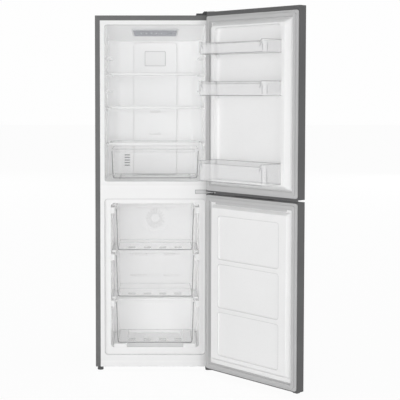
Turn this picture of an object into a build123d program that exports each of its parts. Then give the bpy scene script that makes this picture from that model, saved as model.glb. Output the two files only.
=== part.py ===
"""Free-standing refrigerator with the freezer below, both right-hung doors standing open.

Millimetres, +Z up, the front faces -Y, the origin is on the floor under the middle of the cabinet.
The doors are drawn shut and swung open about the hinge line before they are written.
"""

import os
from math import atan2, cos, degrees, pi, sin, tan

from build123d import *

# Cabinet
CABINET_WIDTH = 595.0
CABINET_DEPTH = 575.0
FOOT_HEIGHT = 22.0
FLOOR_WALL = 95.0
FREEZER_HEIGHT = 728.0
MIDDLE_WALL = 110.7
FRIDGE_HEIGHT = 779.8
TOP_WALL = 44.5
FRIDGE_SIDE_WALL = 46.0
FREEZER_SIDE_WALL = 76.5
FRIDGE_BACK_WALL = 125.0
FREEZER_BACK_WALL = 85.0
STEEL_SHEET = 1.0
LINER_SHEET = 2.0
FRONT_LIP = 24.5
KICK_HEIGHT = 30.5
MID_RAIL_BELOW = 27.0
MID_RAIL_ABOVE = 19.7

# Food compartment
CEILING_FALL = 62.0
COVE = 53.0
COVE_RADIUS = 30.0
FRIDGE_CORNER = 14.0
LEDGE_WIDTH = 28.0
LEDGE_HEIGHT = 8.0
LEDGE_PITCH = 85.0
LEDGE_ROUND = 8.0
LEDGE_COUNT = 4
SHELF_SETBACK = 134.0
LOWER_SHELF_RISE = 374.3

# Freezer compartment
FREEZER_CORNER = 16.0
MOUTH_MARGIN_SIDE = 29.5
MOUTH_MARGIN_FLOOR = 34.0
MOUTH_MARGIN_CEILING = 22.0
MOUTH_DEPTH = 15.0
RUNNER_WIDTH = 20.0
RUNNER_HEIGHT = 30.0
RUNNER_SETBACK = 22.0
RUNNER_ROUND = 8.0
FLOOR_CHANNEL_WIDTH = 285.0

# Machine compartment
NICHE_DEPTH = 190.0
NICHE_HEIGHT = 240.0
NICHE_WALL = 38.0
DECK_LIFT = 12.0
DECK_SHEET = 1.5

# Shelves
GLASS = 4.0
SHELF_SIDE_GAP = 16.5
SHELF_TRIM_HEIGHT = 14.0
SHELF_TRIM_DEPTH = 16.0
SHELF_GLASS_LAP = 10.0
SHELF_GLASS_DROP = 3.0
SHELF_TAPER = 40.0
SHELF_BACK_GAP = 26.0
TRIM_ROUND = 4.0

# Drawers
DRAWER_WALL = 2.5
DRAWER_CORNER = 10.0
DRAWER_LIP = 5.0
DRAWER_GAP_BELOW = 18.0
DRAWER_GAP_ABOVE = 2.0
DRAWER_PLAY = 14.0
DRAWER_SETBACK = 30.0
DRAWER_FLANGE_GAP = 4.0
DRAWER_SIDE_GAP = 26.5
DRAWER_LEAN = 7.0
DRAWER_BACK_GAP = 10.0
DRAWER_GRIP_LENGTH = 200.0
CRISPER_GRIP_LENGTH = 400.0
DRAWER_GRIP_REACH = 9.0
DRAWER_GRIP_DROP = 16.0
DRAWER_TAB_LENGTH = 34.0
DRAWER_TAB_HEIGHT = 7.0
DRAWER_TAB_PITCH = 78.0
DRAWER_TAB_COUNT = 4
DRAWER_TAB_PROUD = 1.2
DRAWER_TAB_RISE = 14.0
CRISPER_HALF_WIDTH = 221.0
CRISPER_LEAN = 6.0
CRISPER_LIFT = 6.3
CRISPER_HEIGHT = 150.0
CRISPER_RUNNER_WIDTH = 6.0
CRISPER_RUNNER_INSET = 40.0
CRISPER_COVER_RISE = 188.0

# Doors
DOOR_THICKNESS = 48.0
DOOR_GAP = 12.0
DOOR_OPENING = 132.0
DOOR_EDGE_ROUND = 6.0
DOOR_SHEET = 1.0
DOOR_LIP = 20.0
DOOR_RISE = 13.0
DOOR_SPLIT = 11.0
FRIDGE_DOOR_LAP = 45.7
FREEZER_DOOR_FLOOR_GAP = 2.0
FRIDGE_TOP_EDGE = 21.0
FRIDGE_BOTTOM_EDGE = 7.0
FREEZER_TOP_EDGE = 5.0
FREEZER_BOTTOM_EDGE = 6.0
CAP_WALL = 2.5
GRIP_LENGTH = 260.0
GRIP_WIDTH = 28.0
GRIP_DEPTH = 21.0
GRIP_INSET = 6.0
DRIP_LIP_GAP = 4.0
DRIP_LIP_INSET = 2.5
DRIP_LIP_HINGE_GAP = 60.0
REST_PAD_LENGTH = 26.0
REST_PAD_WIDTH = 20.0
REST_PAD_HEIGHT = 5.0
REST_PAD_INSET = 4.0

# Door gaskets
GASKET_EDGE = 4.0
GASKET_WIDTH = 32.0
GASKET_FLAP = 5.0
GASKET_BEAD = 11.5
GASKET_BEAD_OFFSET = 12.0
GASKET_BEAD_WIDTH = 14.0
GASKET_CORNER = 10.0
GASKET_INNER_CORNER = 4.0
GASKET_TONGUE_DROP = 10.0
GASKET_TONGUE_INSET = 70.0

# Door liners
DIKE_START_SIDES = 5.0
DIKE_CORNER = 12.0
DIKE_EDGE = 5.0
FRIDGE_DIKE_START_ENDS = 1.0
FRIDGE_DIKE_HEIGHT = 30.0
FRIDGE_DIKE_SLOPE = 20.0
FRIDGE_DIKE_RIDGE_SIDES = 20.0
FRIDGE_DIKE_RIDGE_ENDS = 6.0
RECESS_CORNER = 5.0
RECESS_TOP_CORNER = 24.0
RECESS_FLOOR_ROUND = 12.0
FREEZER_DIKE_START_BELOW = 18.0
FREEZER_DIKE_START_ABOVE = 12.0
FREEZER_DIKE_HEIGHT = 20.0
FREEZER_DIKE_SLOPE = 14.0
PANEL_DEPTH = 7.0
PANEL_COUNT = 3
PANEL_SIDE_MARGIN = 46.0
PANEL_MARGIN_BELOW = 19.0
PANEL_MARGIN_ABOVE = 36.0
PANEL_SPACING = 22.0
PANEL_CORNER = 14.0
PANEL_FLOOR_ROUND = 5.0

# Door bins
BIN_WALL = 2.5
BIN_REACH = 140.0
BIN_BACK_GAP = 13.0
BIN_SIDE_GAP = 0.6
BIN_CORNER = 16.0
BIN_EDGE = 6.0
BIN_FRONT_DROP = 12.0
BIN_SHOULDER = 20.0
BIN_SHOULDER_SLOPE = 12.0
UPPER_BIN_RISE = 670.0
UPPER_BIN_HEIGHT = 60.0
MIDDLE_BIN_RISE = 474.0
MIDDLE_BIN_HEIGHT = 68.0
LOWER_BIN_HEIGHT = 97.0
BIN_LUG_WIDTH = 16.0
BIN_LUG_HEIGHT = 16.0
BIN_LUG_REACH = 10.0

# Hinges
HINGE_INSET = 15.0
HINGE_SETBACK = 25.0
PIN_RADIUS = 4.0
PIN_LENGTH = 13.0
PIN_FIT = 0.05
BUSH_WALL = 5.0
BUSH_DEPTH = 16.0
HINGE_TIP = 12.0
HINGE_PLATE = 3.0
HINGE_ARM = 5.0
HINGE_ARM_WIDTH = 37.0
TOP_HINGE_FOOT = 70.0
TOP_HINGE_INSET = 5.0
TOP_HINGE_HEADROOM = 1.5
COVER_WALL = 2.0
COVER_WIDTH = 89.0
COVER_LENGTH = 86.0
COVER_STEP_WIDTH = 28.0
COVER_STEP_HEIGHT = 10.0
COVER_HEIGHT = 20.0
MID_HINGE_WIDTH = 93.0
MID_HINGE_HEIGHT = 18.0
BOTTOM_HINGE_WIDTH = 42.0
BOTTOM_HINGE_FOOT = 80.0
SCREW_RADIUS = 3.0
SCREW_HEAD_RADIUS = 5.5
SCREW_HEAD = 4.0
SCREW_SPACING = 34.0
SCREW_EDGE = 10.0

# Control panel and light
PANEL_FRONT_WIDTH = 222.0
PANEL_REAR_WIDTH = 214.0
PANEL_LENGTH = 160.0
PANEL_DEPTH_FROM_FRONT = 118.0
BEZEL_RIM = 8.0
BEZEL_HEIGHT = 6.0
BEZEL_BEVEL = 4.0
FACE_HEIGHT = 2.6
BUTTON_RADIUS = 8.0
BUTTON_OFFSET = 78.0
BUTTON_PROUD = 2.0
BUTTON_TRAVEL = 1.2
DUCT_WIDTH = 232.0
DUCT_TOP_GAP = 8.0
DUCT_BOTTOM_RISE = 3.0
DUCT_PROUD = 20.0
DUCT_WALL = 2.5
DUCT_CORNER = 18.0
DUCT_EDGE = 5.0
LAMP_WIDTH = 110.0
LAMP_HEIGHT = 77.0
LAMP_RISE = 624.0
LAMP_SHEET = 3.0
VENT_WIDTH = 60.0
VENT_HEIGHT = 9.0
VENT_RISES = (340.0, 222.0)
RETURN_WIDTH = 37.0
RETURN_HEIGHT = 74.0
RETURN_PITCH = 13.9
RETURN_SHEET = 5.0
RETURN_RISE = 79.0
RETURN_SLOTS = 5

# Freezer air system
AIR_COVER_GAP = 70.0
AIR_COVER_SHEET = 2.0
FAN_BELOW_CEILING = 122.0
FAN_RING_RADIUS = 80.0
FAN_RING_WIDTH = 6.0
FAN_RING_PROUD = 6.0
FAN_RADIUS = 50.0
FAN_SLOT_RADIUS = 38.0
FAN_SLOT_LENGTH = 30.0
FAN_SLOT_WIDTH = 6.0
FAN_SLOTS = 18
FAN_HUB_RADIUS = 17.0
FAN_HUB_LENGTH = 20.0
FAN_BLADES = 5
FAN_BLADE_CHORD = 23.0
FAN_BLADE_SHEET = 2.0
FAN_BLADE_PITCH = 35.0
FAN_FRONT_GAP = 6.0
MOTOR_RADIUS = 24.0
MOTOR_LENGTH = 24.0
MOTOR_GAP = 5.0
MOTOR_SHAFT_RADIUS = 2.5
MOTOR_BAR_HALF = 66.0
MOTOR_BAR_SHEET = 4.0
MOTOR_POST_RADIUS = 5.0
COIL_HALF_WIDTH = 190.0
COIL_HEIGHT = 300.0
COIL_DEPTH = 50.0
COIL_FINS = 9
COIL_FIN_SHEET = 3.0
COIL_TUBE_RADIUS = 5.0
COIL_ROWS = 3
OUTLET_WIDTH = 90.0
OUTLET_HEIGHT = 10.0

# Feet and rollers
FOOT_PAD_RADIUS = 14.5
FOOT_PAD_HEIGHT = 15.0
FOOT_STEM_RADIUS = 4.0
FOOT_STEM_LENGTH = 20.0
FOOT_INSET_X = 22.0
FOOT_INSET_Y = 36.0
INSERT_WALL = 5.0
INSERT_HEIGHT = 24.0
ROLLER_RADIUS = 15.0
ROLLER_WIDTH = 20.0
ROLLER_INSET_X = 60.0
ROLLER_INSET_Y = 60.0
AXLE_RADIUS = 3.0
EAR_SHEET = 3.0
EAR_HALF_LENGTH = 10.0

# Compressor
COMPRESSOR_X = -120.0
COMPRESSOR_INSET_Y = 98.0
COMPRESSOR_RADIUS = 70.0
COMPRESSOR_HEIGHT = 150.0
COMPRESSOR_DOME = 40.0
SEAM_RADIUS = 75.0
SEAM_HEIGHT = 6.0
MOUNT_RADIUS = 11.0
MOUNT_HEIGHT = 12.0
MOUNT_SPACING_X = 120.0
MOUNT_SPACING_Y = 90.0
BASE_PLATE = 3.0
BASE_PLATE_MARGIN = 13.0
STUB_RADIUS = 4.0
STUB_LENGTH = 18.0
TRAY_LENGTH = 180.0
TRAY_WIDTH = 130.0
TRAY_HEIGHT = 26.0
TRAY_WALL = 2.0
REAR_COVER_SHEET = 1.2
REAR_SLOT_LENGTH = 70.0
REAR_SLOT_HEIGHT = 7.0
REAR_SLOT_PITCH_X = 95.0
REAR_SLOT_PITCH_Z = 28.0
REAR_SLOT_COLUMNS = 5
REAR_SLOT_ROWS = 5
GLAND_RADIUS = 8.0
GLAND_BORE = 4.0
GLAND_FLANGE = 3.0
GLAND_LENGTH = 14.0
GLAND_INSET = 30.0

# Clearances
REST_GAP = 0.3
FIT_GAP = 0.3
SEAT_GAP = 0.5

# Levels and planes that follow from the sizes above
HALF_WIDTH = CABINET_WIDTH / 2
FRONT = -CABINET_DEPTH / 2
BACK = CABINET_DEPTH / 2
FREEZER_FLOOR = FOOT_HEIGHT + FLOOR_WALL
FREEZER_CEILING = FREEZER_FLOOR + FREEZER_HEIGHT
FRIDGE_FLOOR = FREEZER_CEILING + MIDDLE_WALL
FRIDGE_CEILING = FRIDGE_FLOOR + FRIDGE_HEIGHT
CABINET_TOP = FRIDGE_CEILING + TOP_WALL
FRIDGE_HALF = HALF_WIDTH - FRIDGE_SIDE_WALL
FREEZER_HALF = HALF_WIDTH - FREEZER_SIDE_WALL
FRIDGE_BACK = BACK - FRIDGE_BACK_WALL
FREEZER_BACK = BACK - FREEZER_BACK_WALL
FRIDGE_DEPTH = FRIDGE_BACK - FRONT
KICK_TOP = FOOT_HEIGHT + KICK_HEIGHT
MID_RAIL_LOW = FREEZER_CEILING + MID_RAIL_BELOW
MID_RAIL_HIGH = FRIDGE_FLOOR - MID_RAIL_ABOVE
FLANGE_HALF = HALF_WIDTH - FRONT_LIP
FLANGE_TOP = CABINET_TOP - FRONT_LIP
INSIDE_HALF = HALF_WIDTH - STEEL_SHEET
NICHE_FRONT = BACK - NICHE_DEPTH
NICHE_TOP = FOOT_HEIGHT + NICHE_HEIGHT
STEP_FRONT = NICHE_FRONT - NICHE_WALL
STEP_TOP = NICHE_TOP + NICHE_WALL
AIR_COVER_BACK = FREEZER_BACK - AIR_COVER_GAP
AIR_COVER_FRONT = AIR_COVER_BACK - AIR_COVER_SHEET
DECK_TOP = FOOT_HEIGHT + DECK_LIFT + DECK_SHEET
DOOR_INNER = FRONT - DOOR_GAP
DOOR_OUTER = DOOR_INNER - DOOR_THICKNESS
FRIDGE_DOOR_LOW = FRIDGE_FLOOR - FRIDGE_DOOR_LAP
FRIDGE_DOOR_HIGH = CABINET_TOP + DOOR_RISE
FREEZER_DOOR_LOW = FOOT_HEIGHT + FREEZER_DOOR_FLOOR_GAP
FREEZER_DOOR_HIGH = FRIDGE_DOOR_LOW - DOOR_SPLIT
HINGE_X = HALF_WIDTH - HINGE_INSET
HINGE_Y = DOOR_INNER - HINGE_SETBACK
HINGE_LINE = Axis((HINGE_X, HINGE_Y, 0), (0, 0, 1))
SHELF_HALF = FRIDGE_HALF - SHELF_SIDE_GAP
SHELF_FRONT = FRONT + SHELF_SETBACK
SHELF_BACK = FRIDGE_BACK - SHELF_BACK_GAP
LOWER_SHELF_TOP = FRIDGE_FLOOR + LOWER_SHELF_RISE
UPPER_SHELF_TOP = LOWER_SHELF_TOP + 2 * LEDGE_PITCH
CRISPER_COVER_TOP = FRIDGE_FLOOR + CRISPER_COVER_RISE
GLASS_UNDER = SHELF_GLASS_DROP + GLASS
LEDGE_DROP = GLASS_UNDER + REST_GAP
LEDGE_BACK = FRIDGE_BACK - COVE - COVE_RADIUS / 2
DRAWER_PITCH = (FREEZER_HEIGHT - DRAWER_GAP_BELOW - DRAWER_GAP_ABOVE) / 3
DRAWER_HEIGHT = DRAWER_PITCH - DRAWER_PLAY
DRAWER_FLOORS = [FREEZER_FLOOR + DRAWER_GAP_BELOW + i * DRAWER_PITCH for i in range(3)]
FAN_Z = FREEZER_CEILING - FAN_BELOW_CEILING
SLOPE = atan2(CEILING_FALL, FRIDGE_DEPTH)
OVERSHOOT = 5.0


def facing(y):
    """Plane at depth y that faces the viewer, so a sketch on it is drawn in X and Z."""
    return Plane((0, y, 0), x_dir=(1, 0, 0), z_dir=(0, -1, 0))


def slab(low, high, mode=Mode.ADD):
    """Box from its lowest to its highest corner."""
    size = [b - a for a, b in zip(low, high)]
    middle = [(a + b) / 2 for a, b in zip(low, high)]
    with Locations(tuple(middle)):
        Box(*size, mode=mode)


def post(x, y, low, high, radius, mode=Mode.ADD):
    """Upright cylinder between two levels."""
    with Locations((x, y, (low + high) / 2)):
        Cylinder(radius, abs(high - low), mode=mode)


def window(y, half, low, high, radius, top_radius=None):
    """Rounded rectangle seen from the front, centred on the middle of the cabinet."""
    with BuildSketch(facing(y)) as sketch:
        with Locations((0, (low + high) / 2)):
            Rectangle(2 * half, high - low)
        fillet(sketch.vertices().group_by(Axis.Y)[0], radius)
        fillet(sketch.vertices().group_by(Axis.Y)[-1], top_radius or radius)
    return sketch.sketch


def write(piece, node):
    """Label a finished piece and write it under its node's name."""
    piece.part.label = node
    export_step(piece.part, f"parts/{node}.step")


def write_on_door(piece, node):
    """Swing a piece that was drawn with its door shut, then write it."""
    piece.part = piece.part.rotate(HINGE_LINE, DOOR_OPENING)
    write(piece, node)


# Compartment forms

def fridge_cavity(grow):
    """Space of the food compartment, open at the front, with every wall moved out by grow."""
    with BuildPart() as cavity:
        with BuildSketch(Plane.YZ):
            with BuildLine():
                Polyline(
                    (FRONT, FRIDGE_FLOOR),
                    (FRIDGE_BACK, FRIDGE_FLOOR),
                    (FRIDGE_BACK, FRIDGE_CEILING - CEILING_FALL),
                    (FRONT, FRIDGE_CEILING),
                    close=True,
                )
            make_face()
            if grow:
                offset(amount=grow, kind=Kind.INTERSECTION)
        extrude(amount=FRIDGE_HALF + grow, both=True)
        along = cavity.edges().filter_by(lambda e: abs(e.tangent_at(0.5).Y) > 0.9)
        fillet(along, FRIDGE_CORNER + grow)
        with BuildSketch(Plane.XY.offset(FRIDGE_FLOOR - grow)) as plan:
            with BuildLine():
                Polyline(
                    (-FRIDGE_HALF, FRONT),
                    (FRIDGE_HALF, FRONT),
                    (FRIDGE_HALF, FRIDGE_BACK - COVE),
                    (FRIDGE_HALF - COVE, FRIDGE_BACK),
                    (COVE - FRIDGE_HALF, FRIDGE_BACK),
                    (-FRIDGE_HALF, FRIDGE_BACK - COVE),
                    close=True,
                )
            make_face()
            fillet(plan.vertices().group_by(Axis.Y)[1:], COVE_RADIUS)
            if grow:
                offset(amount=grow, kind=Kind.INTERSECTION)
        extrude(amount=FRIDGE_HEIGHT + 2 * grow, mode=Mode.INTERSECT)
        slab((-HALF_WIDTH, FRONT - OVERSHOOT, FOOT_HEIGHT), (HALF_WIDTH, FRONT, CABINET_TOP), Mode.SUBTRACT)
    return cavity.part


def freezer_cavity(grow):
    """Space of the freezer with its step over the machine compartment and its recessed mouth."""
    with BuildPart() as cavity:
        with BuildSketch(Plane.YZ):
            with BuildLine():
                Polyline(
                    (FRONT, FREEZER_FLOOR),
                    (STEP_FRONT, FREEZER_FLOOR),
                    (STEP_FRONT, STEP_TOP),
                    (FREEZER_BACK, STEP_TOP),
                    (FREEZER_BACK, FREEZER_CEILING),
                    (FRONT, FREEZER_CEILING),
                    close=True,
                )
            make_face()
            if grow:
                offset(amount=grow, kind=Kind.INTERSECTION)
        extrude(amount=FREEZER_HALF + grow, both=True)
        along = cavity.edges().filter_by(Axis.Y)
        fillet(along, FREEZER_CORNER + grow)
        mouth = window(
            FRONT,
            FREEZER_HALF + MOUTH_MARGIN_SIDE + grow,
            FREEZER_FLOOR - MOUTH_MARGIN_FLOOR - grow,
            FREEZER_CEILING + MOUTH_MARGIN_CEILING + grow,
            FREEZER_CORNER + grow,
        )
        extrude(mouth, amount=-(MOUTH_DEPTH + grow))
        slab((-HALF_WIDTH, FRONT - OVERSHOOT, FOOT_HEIGHT), (HALF_WIDTH, FRONT, CABINET_TOP), Mode.SUBTRACT)
    return cavity.part


def front_flange(low, high):
    """Flat front band of a liner between two levels, as wide as the painted lips leave free."""
    slab((-FLANGE_HALF, FRONT, low), (FLANGE_HALF, FRONT + LINER_SHEET, high))


os.makedirs("parts", exist_ok=True)
FRIDGE_SPACE = fridge_cavity(0)
FRIDGE_OUTSIDE = fridge_cavity(LINER_SHEET)
FREEZER_SPACE = freezer_cavity(0)
FREEZER_OUTSIDE = freezer_cavity(LINER_SHEET)

# Feet positions, left and right
FOOT_SPOTS = [(side * (HALF_WIDTH - FOOT_INSET_X), FRONT + FOOT_INSET_Y) for side in (-1, 1)]

# Cabinet

with BuildPart() as cabinet_shell:
    slab((-HALF_WIDTH, FRONT, FOOT_HEIGHT), (HALF_WIDTH, BACK, CABINET_TOP))
    slab(
        (-INSIDE_HALF, FRONT + STEEL_SHEET, FOOT_HEIGHT),
        (INSIDE_HALF, BACK, CABINET_TOP - STEEL_SHEET),
        Mode.SUBTRACT,
    )
    slab((-FLANGE_HALF, FRONT, FOOT_HEIGHT), (FLANGE_HALF, FRONT + STEEL_SHEET, FLANGE_TOP), Mode.SUBTRACT)
write(cabinet_shell, "cabinet_shell")

with BuildPart() as back_panel:
    slab(
        (-INSIDE_HALF, BACK - STEEL_SHEET, NICHE_TOP + STEEL_SHEET),
        (INSIDE_HALF, BACK, CABINET_TOP - STEEL_SHEET),
    )
write(back_panel, "back_panel")

with BuildPart() as base_pan:
    with BuildSketch(Plane.YZ):
        with BuildLine():
            Polyline(
                (FRONT + LINER_SHEET, FOOT_HEIGHT),
                (NICHE_FRONT, FOOT_HEIGHT),
                (NICHE_FRONT, NICHE_TOP),
                (BACK - STEEL_SHEET, NICHE_TOP),
                (BACK - STEEL_SHEET, NICHE_TOP + STEEL_SHEET),
                (NICHE_FRONT - STEEL_SHEET, NICHE_TOP + STEEL_SHEET),
                (NICHE_FRONT - STEEL_SHEET, FOOT_HEIGHT + STEEL_SHEET),
                (FRONT + LINER_SHEET, FOOT_HEIGHT + STEEL_SHEET),
                close=True,
            )
        make_face()
    extrude(amount=INSIDE_HALF, both=True)
    for foot_x, foot_y in FOOT_SPOTS:
        post(foot_x, foot_y, FOOT_HEIGHT, FOOT_HEIGHT + INSERT_HEIGHT, FOOT_STEM_RADIUS + INSERT_WALL)
        post(
            foot_x,
            foot_y,
            FOOT_HEIGHT,
            FOOT_HEIGHT + FOOT_STEM_LENGTH + SEAT_GAP,
            FOOT_STEM_RADIUS + PIN_FIT,
            Mode.SUBTRACT,
        )
write(base_pan, "base_pan")

with BuildPart() as insulation:
    slab(
        (-INSIDE_HALF, FRONT + LINER_SHEET, FOOT_HEIGHT + STEEL_SHEET),
        (INSIDE_HALF, BACK - STEEL_SHEET, CABINET_TOP - STEEL_SHEET),
    )
    add(FRIDGE_OUTSIDE, mode=Mode.SUBTRACT)
    add(FREEZER_OUTSIDE, mode=Mode.SUBTRACT)
    slab(
        (-HALF_WIDTH, NICHE_FRONT - STEEL_SHEET, 0),
        (HALF_WIDTH, BACK, NICHE_TOP + STEEL_SHEET),
        Mode.SUBTRACT,
    )
    for foot_x, foot_y in FOOT_SPOTS:
        post(foot_x, foot_y, 0, FOOT_HEIGHT + INSERT_HEIGHT, FOOT_STEM_RADIUS + INSERT_WALL, Mode.SUBTRACT)
write(insulation, "insulation")

with BuildPart() as kick_plate:
    slab((-FLANGE_HALF, FRONT, FOOT_HEIGHT), (FLANGE_HALF, FRONT + LINER_SHEET, KICK_TOP))
write(kick_plate, "kick_plate")

with BuildPart() as mid_rail:
    slab((-FLANGE_HALF, FRONT, MID_RAIL_LOW), (FLANGE_HALF, FRONT + LINER_SHEET, MID_RAIL_HIGH))
write(mid_rail, "mid_rail")

# Shelf ledges stand on both side walls, at the shelves' levels and at the free ones between them
LEDGE_TOPS = [LOWER_SHELF_TOP + i * LEDGE_PITCH - LEDGE_DROP for i in range(LEDGE_COUNT)]
LEDGE_TOPS.append(CRISPER_COVER_TOP - LEDGE_DROP)

with BuildPart() as fridge_liner:
    add(FRIDGE_OUTSIDE)
    front_flange(MID_RAIL_HIGH, FLANGE_TOP)
    add(FRIDGE_SPACE, mode=Mode.SUBTRACT)
    for ledge_top in LEDGE_TOPS:
        for side in (-1, 1):
            with BuildSketch(Plane.XY.offset(ledge_top)) as ledge:
                with BuildLine():
                    Polyline(
                        (side * (FRIDGE_HALF + LINER_SHEET / 2), SHELF_FRONT),
                        (side * (FRIDGE_HALF - LEDGE_WIDTH), SHELF_FRONT),
                        (side * (FRIDGE_HALF - LEDGE_WIDTH), LEDGE_BACK),
                        (side * (FRIDGE_HALF + LINER_SHEET / 2), LEDGE_BACK),
                        close=True,
                    )
                make_face()
                inner = ledge.vertices().filter_by(lambda v: abs(v.X) < FRIDGE_HALF - LEDGE_WIDTH / 2)
                fillet(inner, LEDGE_ROUND)
            extrude(amount=-LEDGE_HEIGHT)
write(fridge_liner, "fridge_liner")


def drawer_back(level):
    """Depth of a drawer's back: the lowest one stops in front of the step."""
    return STEP_FRONT - DRAWER_BACK_GAP if level == 0 else AIR_COVER_FRONT - DRAWER_BACK_GAP


with BuildPart() as freezer_liner:
    add(FREEZER_OUTSIDE)
    front_flange(KICK_TOP, MID_RAIL_LOW)
    add(FREEZER_SPACE, mode=Mode.SUBTRACT)
    for level, floor in enumerate(DRAWER_FLOORS):
        runner_top = floor + DRAWER_HEIGHT - DRAWER_LIP - REST_GAP
        for side in (-1, 1):
            outer = side * (FREEZER_HALF + LINER_SHEET / 2)
            inner = side * (FREEZER_HALF - RUNNER_WIDTH)
            with BuildSketch(Plane.XY.offset(runner_top)) as runner:
                with Locations(((outer + inner) / 2, (FRONT + RUNNER_SETBACK + drawer_back(level)) / 2)):
                    Rectangle(abs(outer - inner), drawer_back(level) - FRONT - RUNNER_SETBACK)
                rounded = runner.vertices().filter_by(lambda v: abs(v.X) < FREEZER_HALF - RUNNER_WIDTH / 2)
                fillet(rounded, RUNNER_ROUND)
            extrude(amount=-RUNNER_HEIGHT)
    for side in (-1, 1):
        outer = side * (FREEZER_HALF - FREEZER_CORNER)
        inner = side * FLOOR_CHANNEL_WIDTH / 2
        slab(
            (min(outer, inner), FRONT + MOUTH_DEPTH + LINER_SHEET, FREEZER_FLOOR - LINER_SHEET / 2),
            (max(outer, inner), drawer_back(0), DRAWER_FLOORS[0] - REST_GAP),
        )
write(freezer_liner, "freezer_liner")

# Air duct, light and return grille on the back wall of the food compartment

DUCT_FACE = FRIDGE_BACK - DUCT_PROUD
DUCT_LOW = FRIDGE_FLOOR + DUCT_BOTTOM_RISE
DUCT_HIGH = FRIDGE_CEILING - CEILING_FALL - DUCT_TOP_GAP
LAMP_Z = FRIDGE_FLOOR + LAMP_RISE
FLAT_BACK_END = FRIDGE_HALF - COVE - COVE_RADIUS * tan(pi / 8)
RETURN_MIDDLE = (DUCT_WIDTH / 2 + FLAT_BACK_END) / 2

with BuildPart() as air_duct_cover:
    duct_outline = window(FRIDGE_BACK, DUCT_WIDTH / 2, DUCT_LOW, DUCT_HIGH, DUCT_CORNER)
    extrude(duct_outline, amount=DUCT_PROUD)
    fillet(air_duct_cover.faces().sort_by(Axis.Y)[0].edges(), DUCT_EDGE)
    duct_inside = window(
        FRIDGE_BACK,
        DUCT_WIDTH / 2 - DUCT_WALL,
        DUCT_LOW + DUCT_WALL,
        DUCT_HIGH - DUCT_WALL,
        DUCT_CORNER - DUCT_WALL,
    )
    extrude(duct_inside, amount=DUCT_PROUD - DUCT_WALL - DUCT_EDGE / 2, mode=Mode.SUBTRACT)
    with BuildSketch(facing(FRIDGE_BACK)):
        with Locations((0, LAMP_Z)):
            RectangleRounded(LAMP_WIDTH, LAMP_HEIGHT, DUCT_EDGE)
        for rise in VENT_RISES:
            with Locations((0, FRIDGE_FLOOR + rise)):
                SlotOverall(VENT_WIDTH, VENT_HEIGHT)
    extrude(amount=DUCT_PROUD, mode=Mode.SUBTRACT)
write(air_duct_cover, "air_duct_cover")

with BuildPart() as lamp_cover:
    with BuildSketch(facing(DUCT_FACE)):
        with Locations((0, LAMP_Z)):
            RectangleRounded(LAMP_WIDTH - 2 * FIT_GAP, LAMP_HEIGHT - 2 * FIT_GAP, DUCT_EDGE - FIT_GAP)
    extrude(amount=-LAMP_SHEET)
write(lamp_cover, "lamp_cover")

with BuildPart() as return_air_grille:
    with BuildSketch(facing(FRIDGE_BACK)):
        with Locations((-RETURN_MIDDLE, FRIDGE_FLOOR + RETURN_RISE)):
            RectangleRounded(RETURN_WIDTH, RETURN_HEIGHT, TRIM_ROUND)
            with GridLocations(0, RETURN_PITCH, 1, RETURN_SLOTS):
                SlotOverall(RETURN_WIDTH - 3 * RETURN_SHEET / 2, RETURN_SHEET, mode=Mode.SUBTRACT)
    extrude(amount=RETURN_SHEET)
write(return_air_grille, "return_air_grille")

# Control panel under the sloping ceiling

PANEL_MIDDLE = PANEL_DEPTH_FROM_FRONT + PANEL_LENGTH / 2
CEILING_SPOT = (0, FRONT + PANEL_MIDDLE, FRIDGE_CEILING - PANEL_MIDDLE * tan(SLOPE))
CEILING = Plane(CEILING_SPOT, x_dir=(1, 0, 0), z_dir=(0, -sin(SLOPE), -cos(SLOPE)))


def panel_outline(grow):
    """Panel outline on the active sketch, wider at the front, with every side moved out by grow."""
    Polygon(
        (-PANEL_FRONT_WIDTH / 2 - grow, PANEL_LENGTH / 2 + grow),
        (PANEL_FRONT_WIDTH / 2 + grow, PANEL_LENGTH / 2 + grow),
        (PANEL_REAR_WIDTH / 2 + grow, -PANEL_LENGTH / 2 - grow),
        (-PANEL_REAR_WIDTH / 2 - grow, -PANEL_LENGTH / 2 - grow),
        align=None,
    )


with BuildPart() as control_bezel:
    with BuildSketch(CEILING) as bezel_outline:
        panel_outline(BEZEL_RIM)
        fillet(bezel_outline.vertices(), BEZEL_RIM)
    extrude(amount=BEZEL_HEIGHT)
    bezel_face = control_bezel.faces().sort_by(Axis(CEILING.origin, CEILING.z_dir))[-1]
    chamfer(bezel_face.edges(), BEZEL_BEVEL)
    with BuildSketch(CEILING.offset(BEZEL_HEIGHT)):
        panel_outline(FIT_GAP)
    extrude(amount=-FACE_HEIGHT, mode=Mode.SUBTRACT)
    with BuildSketch(CEILING.offset(BEZEL_HEIGHT - FACE_HEIGHT)):
        with Locations((BUTTON_OFFSET, 0)):
            Circle(BUTTON_RADIUS + FIT_GAP)
    extrude(amount=-(BUTTON_TRAVEL + 2 * SEAT_GAP), mode=Mode.SUBTRACT)
write(control_bezel, "control_bezel")

with BuildPart() as control_face:
    with BuildSketch(CEILING.offset(BEZEL_HEIGHT - FACE_HEIGHT)):
        panel_outline(0)
        with Locations((BUTTON_OFFSET, 0)):
            Circle(BUTTON_RADIUS + FIT_GAP, mode=Mode.SUBTRACT)
    extrude(amount=FACE_HEIGHT)
write(control_face, "control_face")

with BuildPart() as temperature_button:
    with BuildSketch(CEILING.offset(BEZEL_HEIGHT - FACE_HEIGHT - SEAT_GAP / 2)):
        with Locations((BUTTON_OFFSET, 0)):
            Circle(BUTTON_RADIUS)
    extrude(amount=FACE_HEIGHT + BUTTON_PROUD)
    button_top = temperature_button.faces().sort_by(Axis.Z)[0]
    fillet(button_top.edges(), BUTTON_PROUD / 2)
write(temperature_button, "temperature_button")


# Shelves

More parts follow.
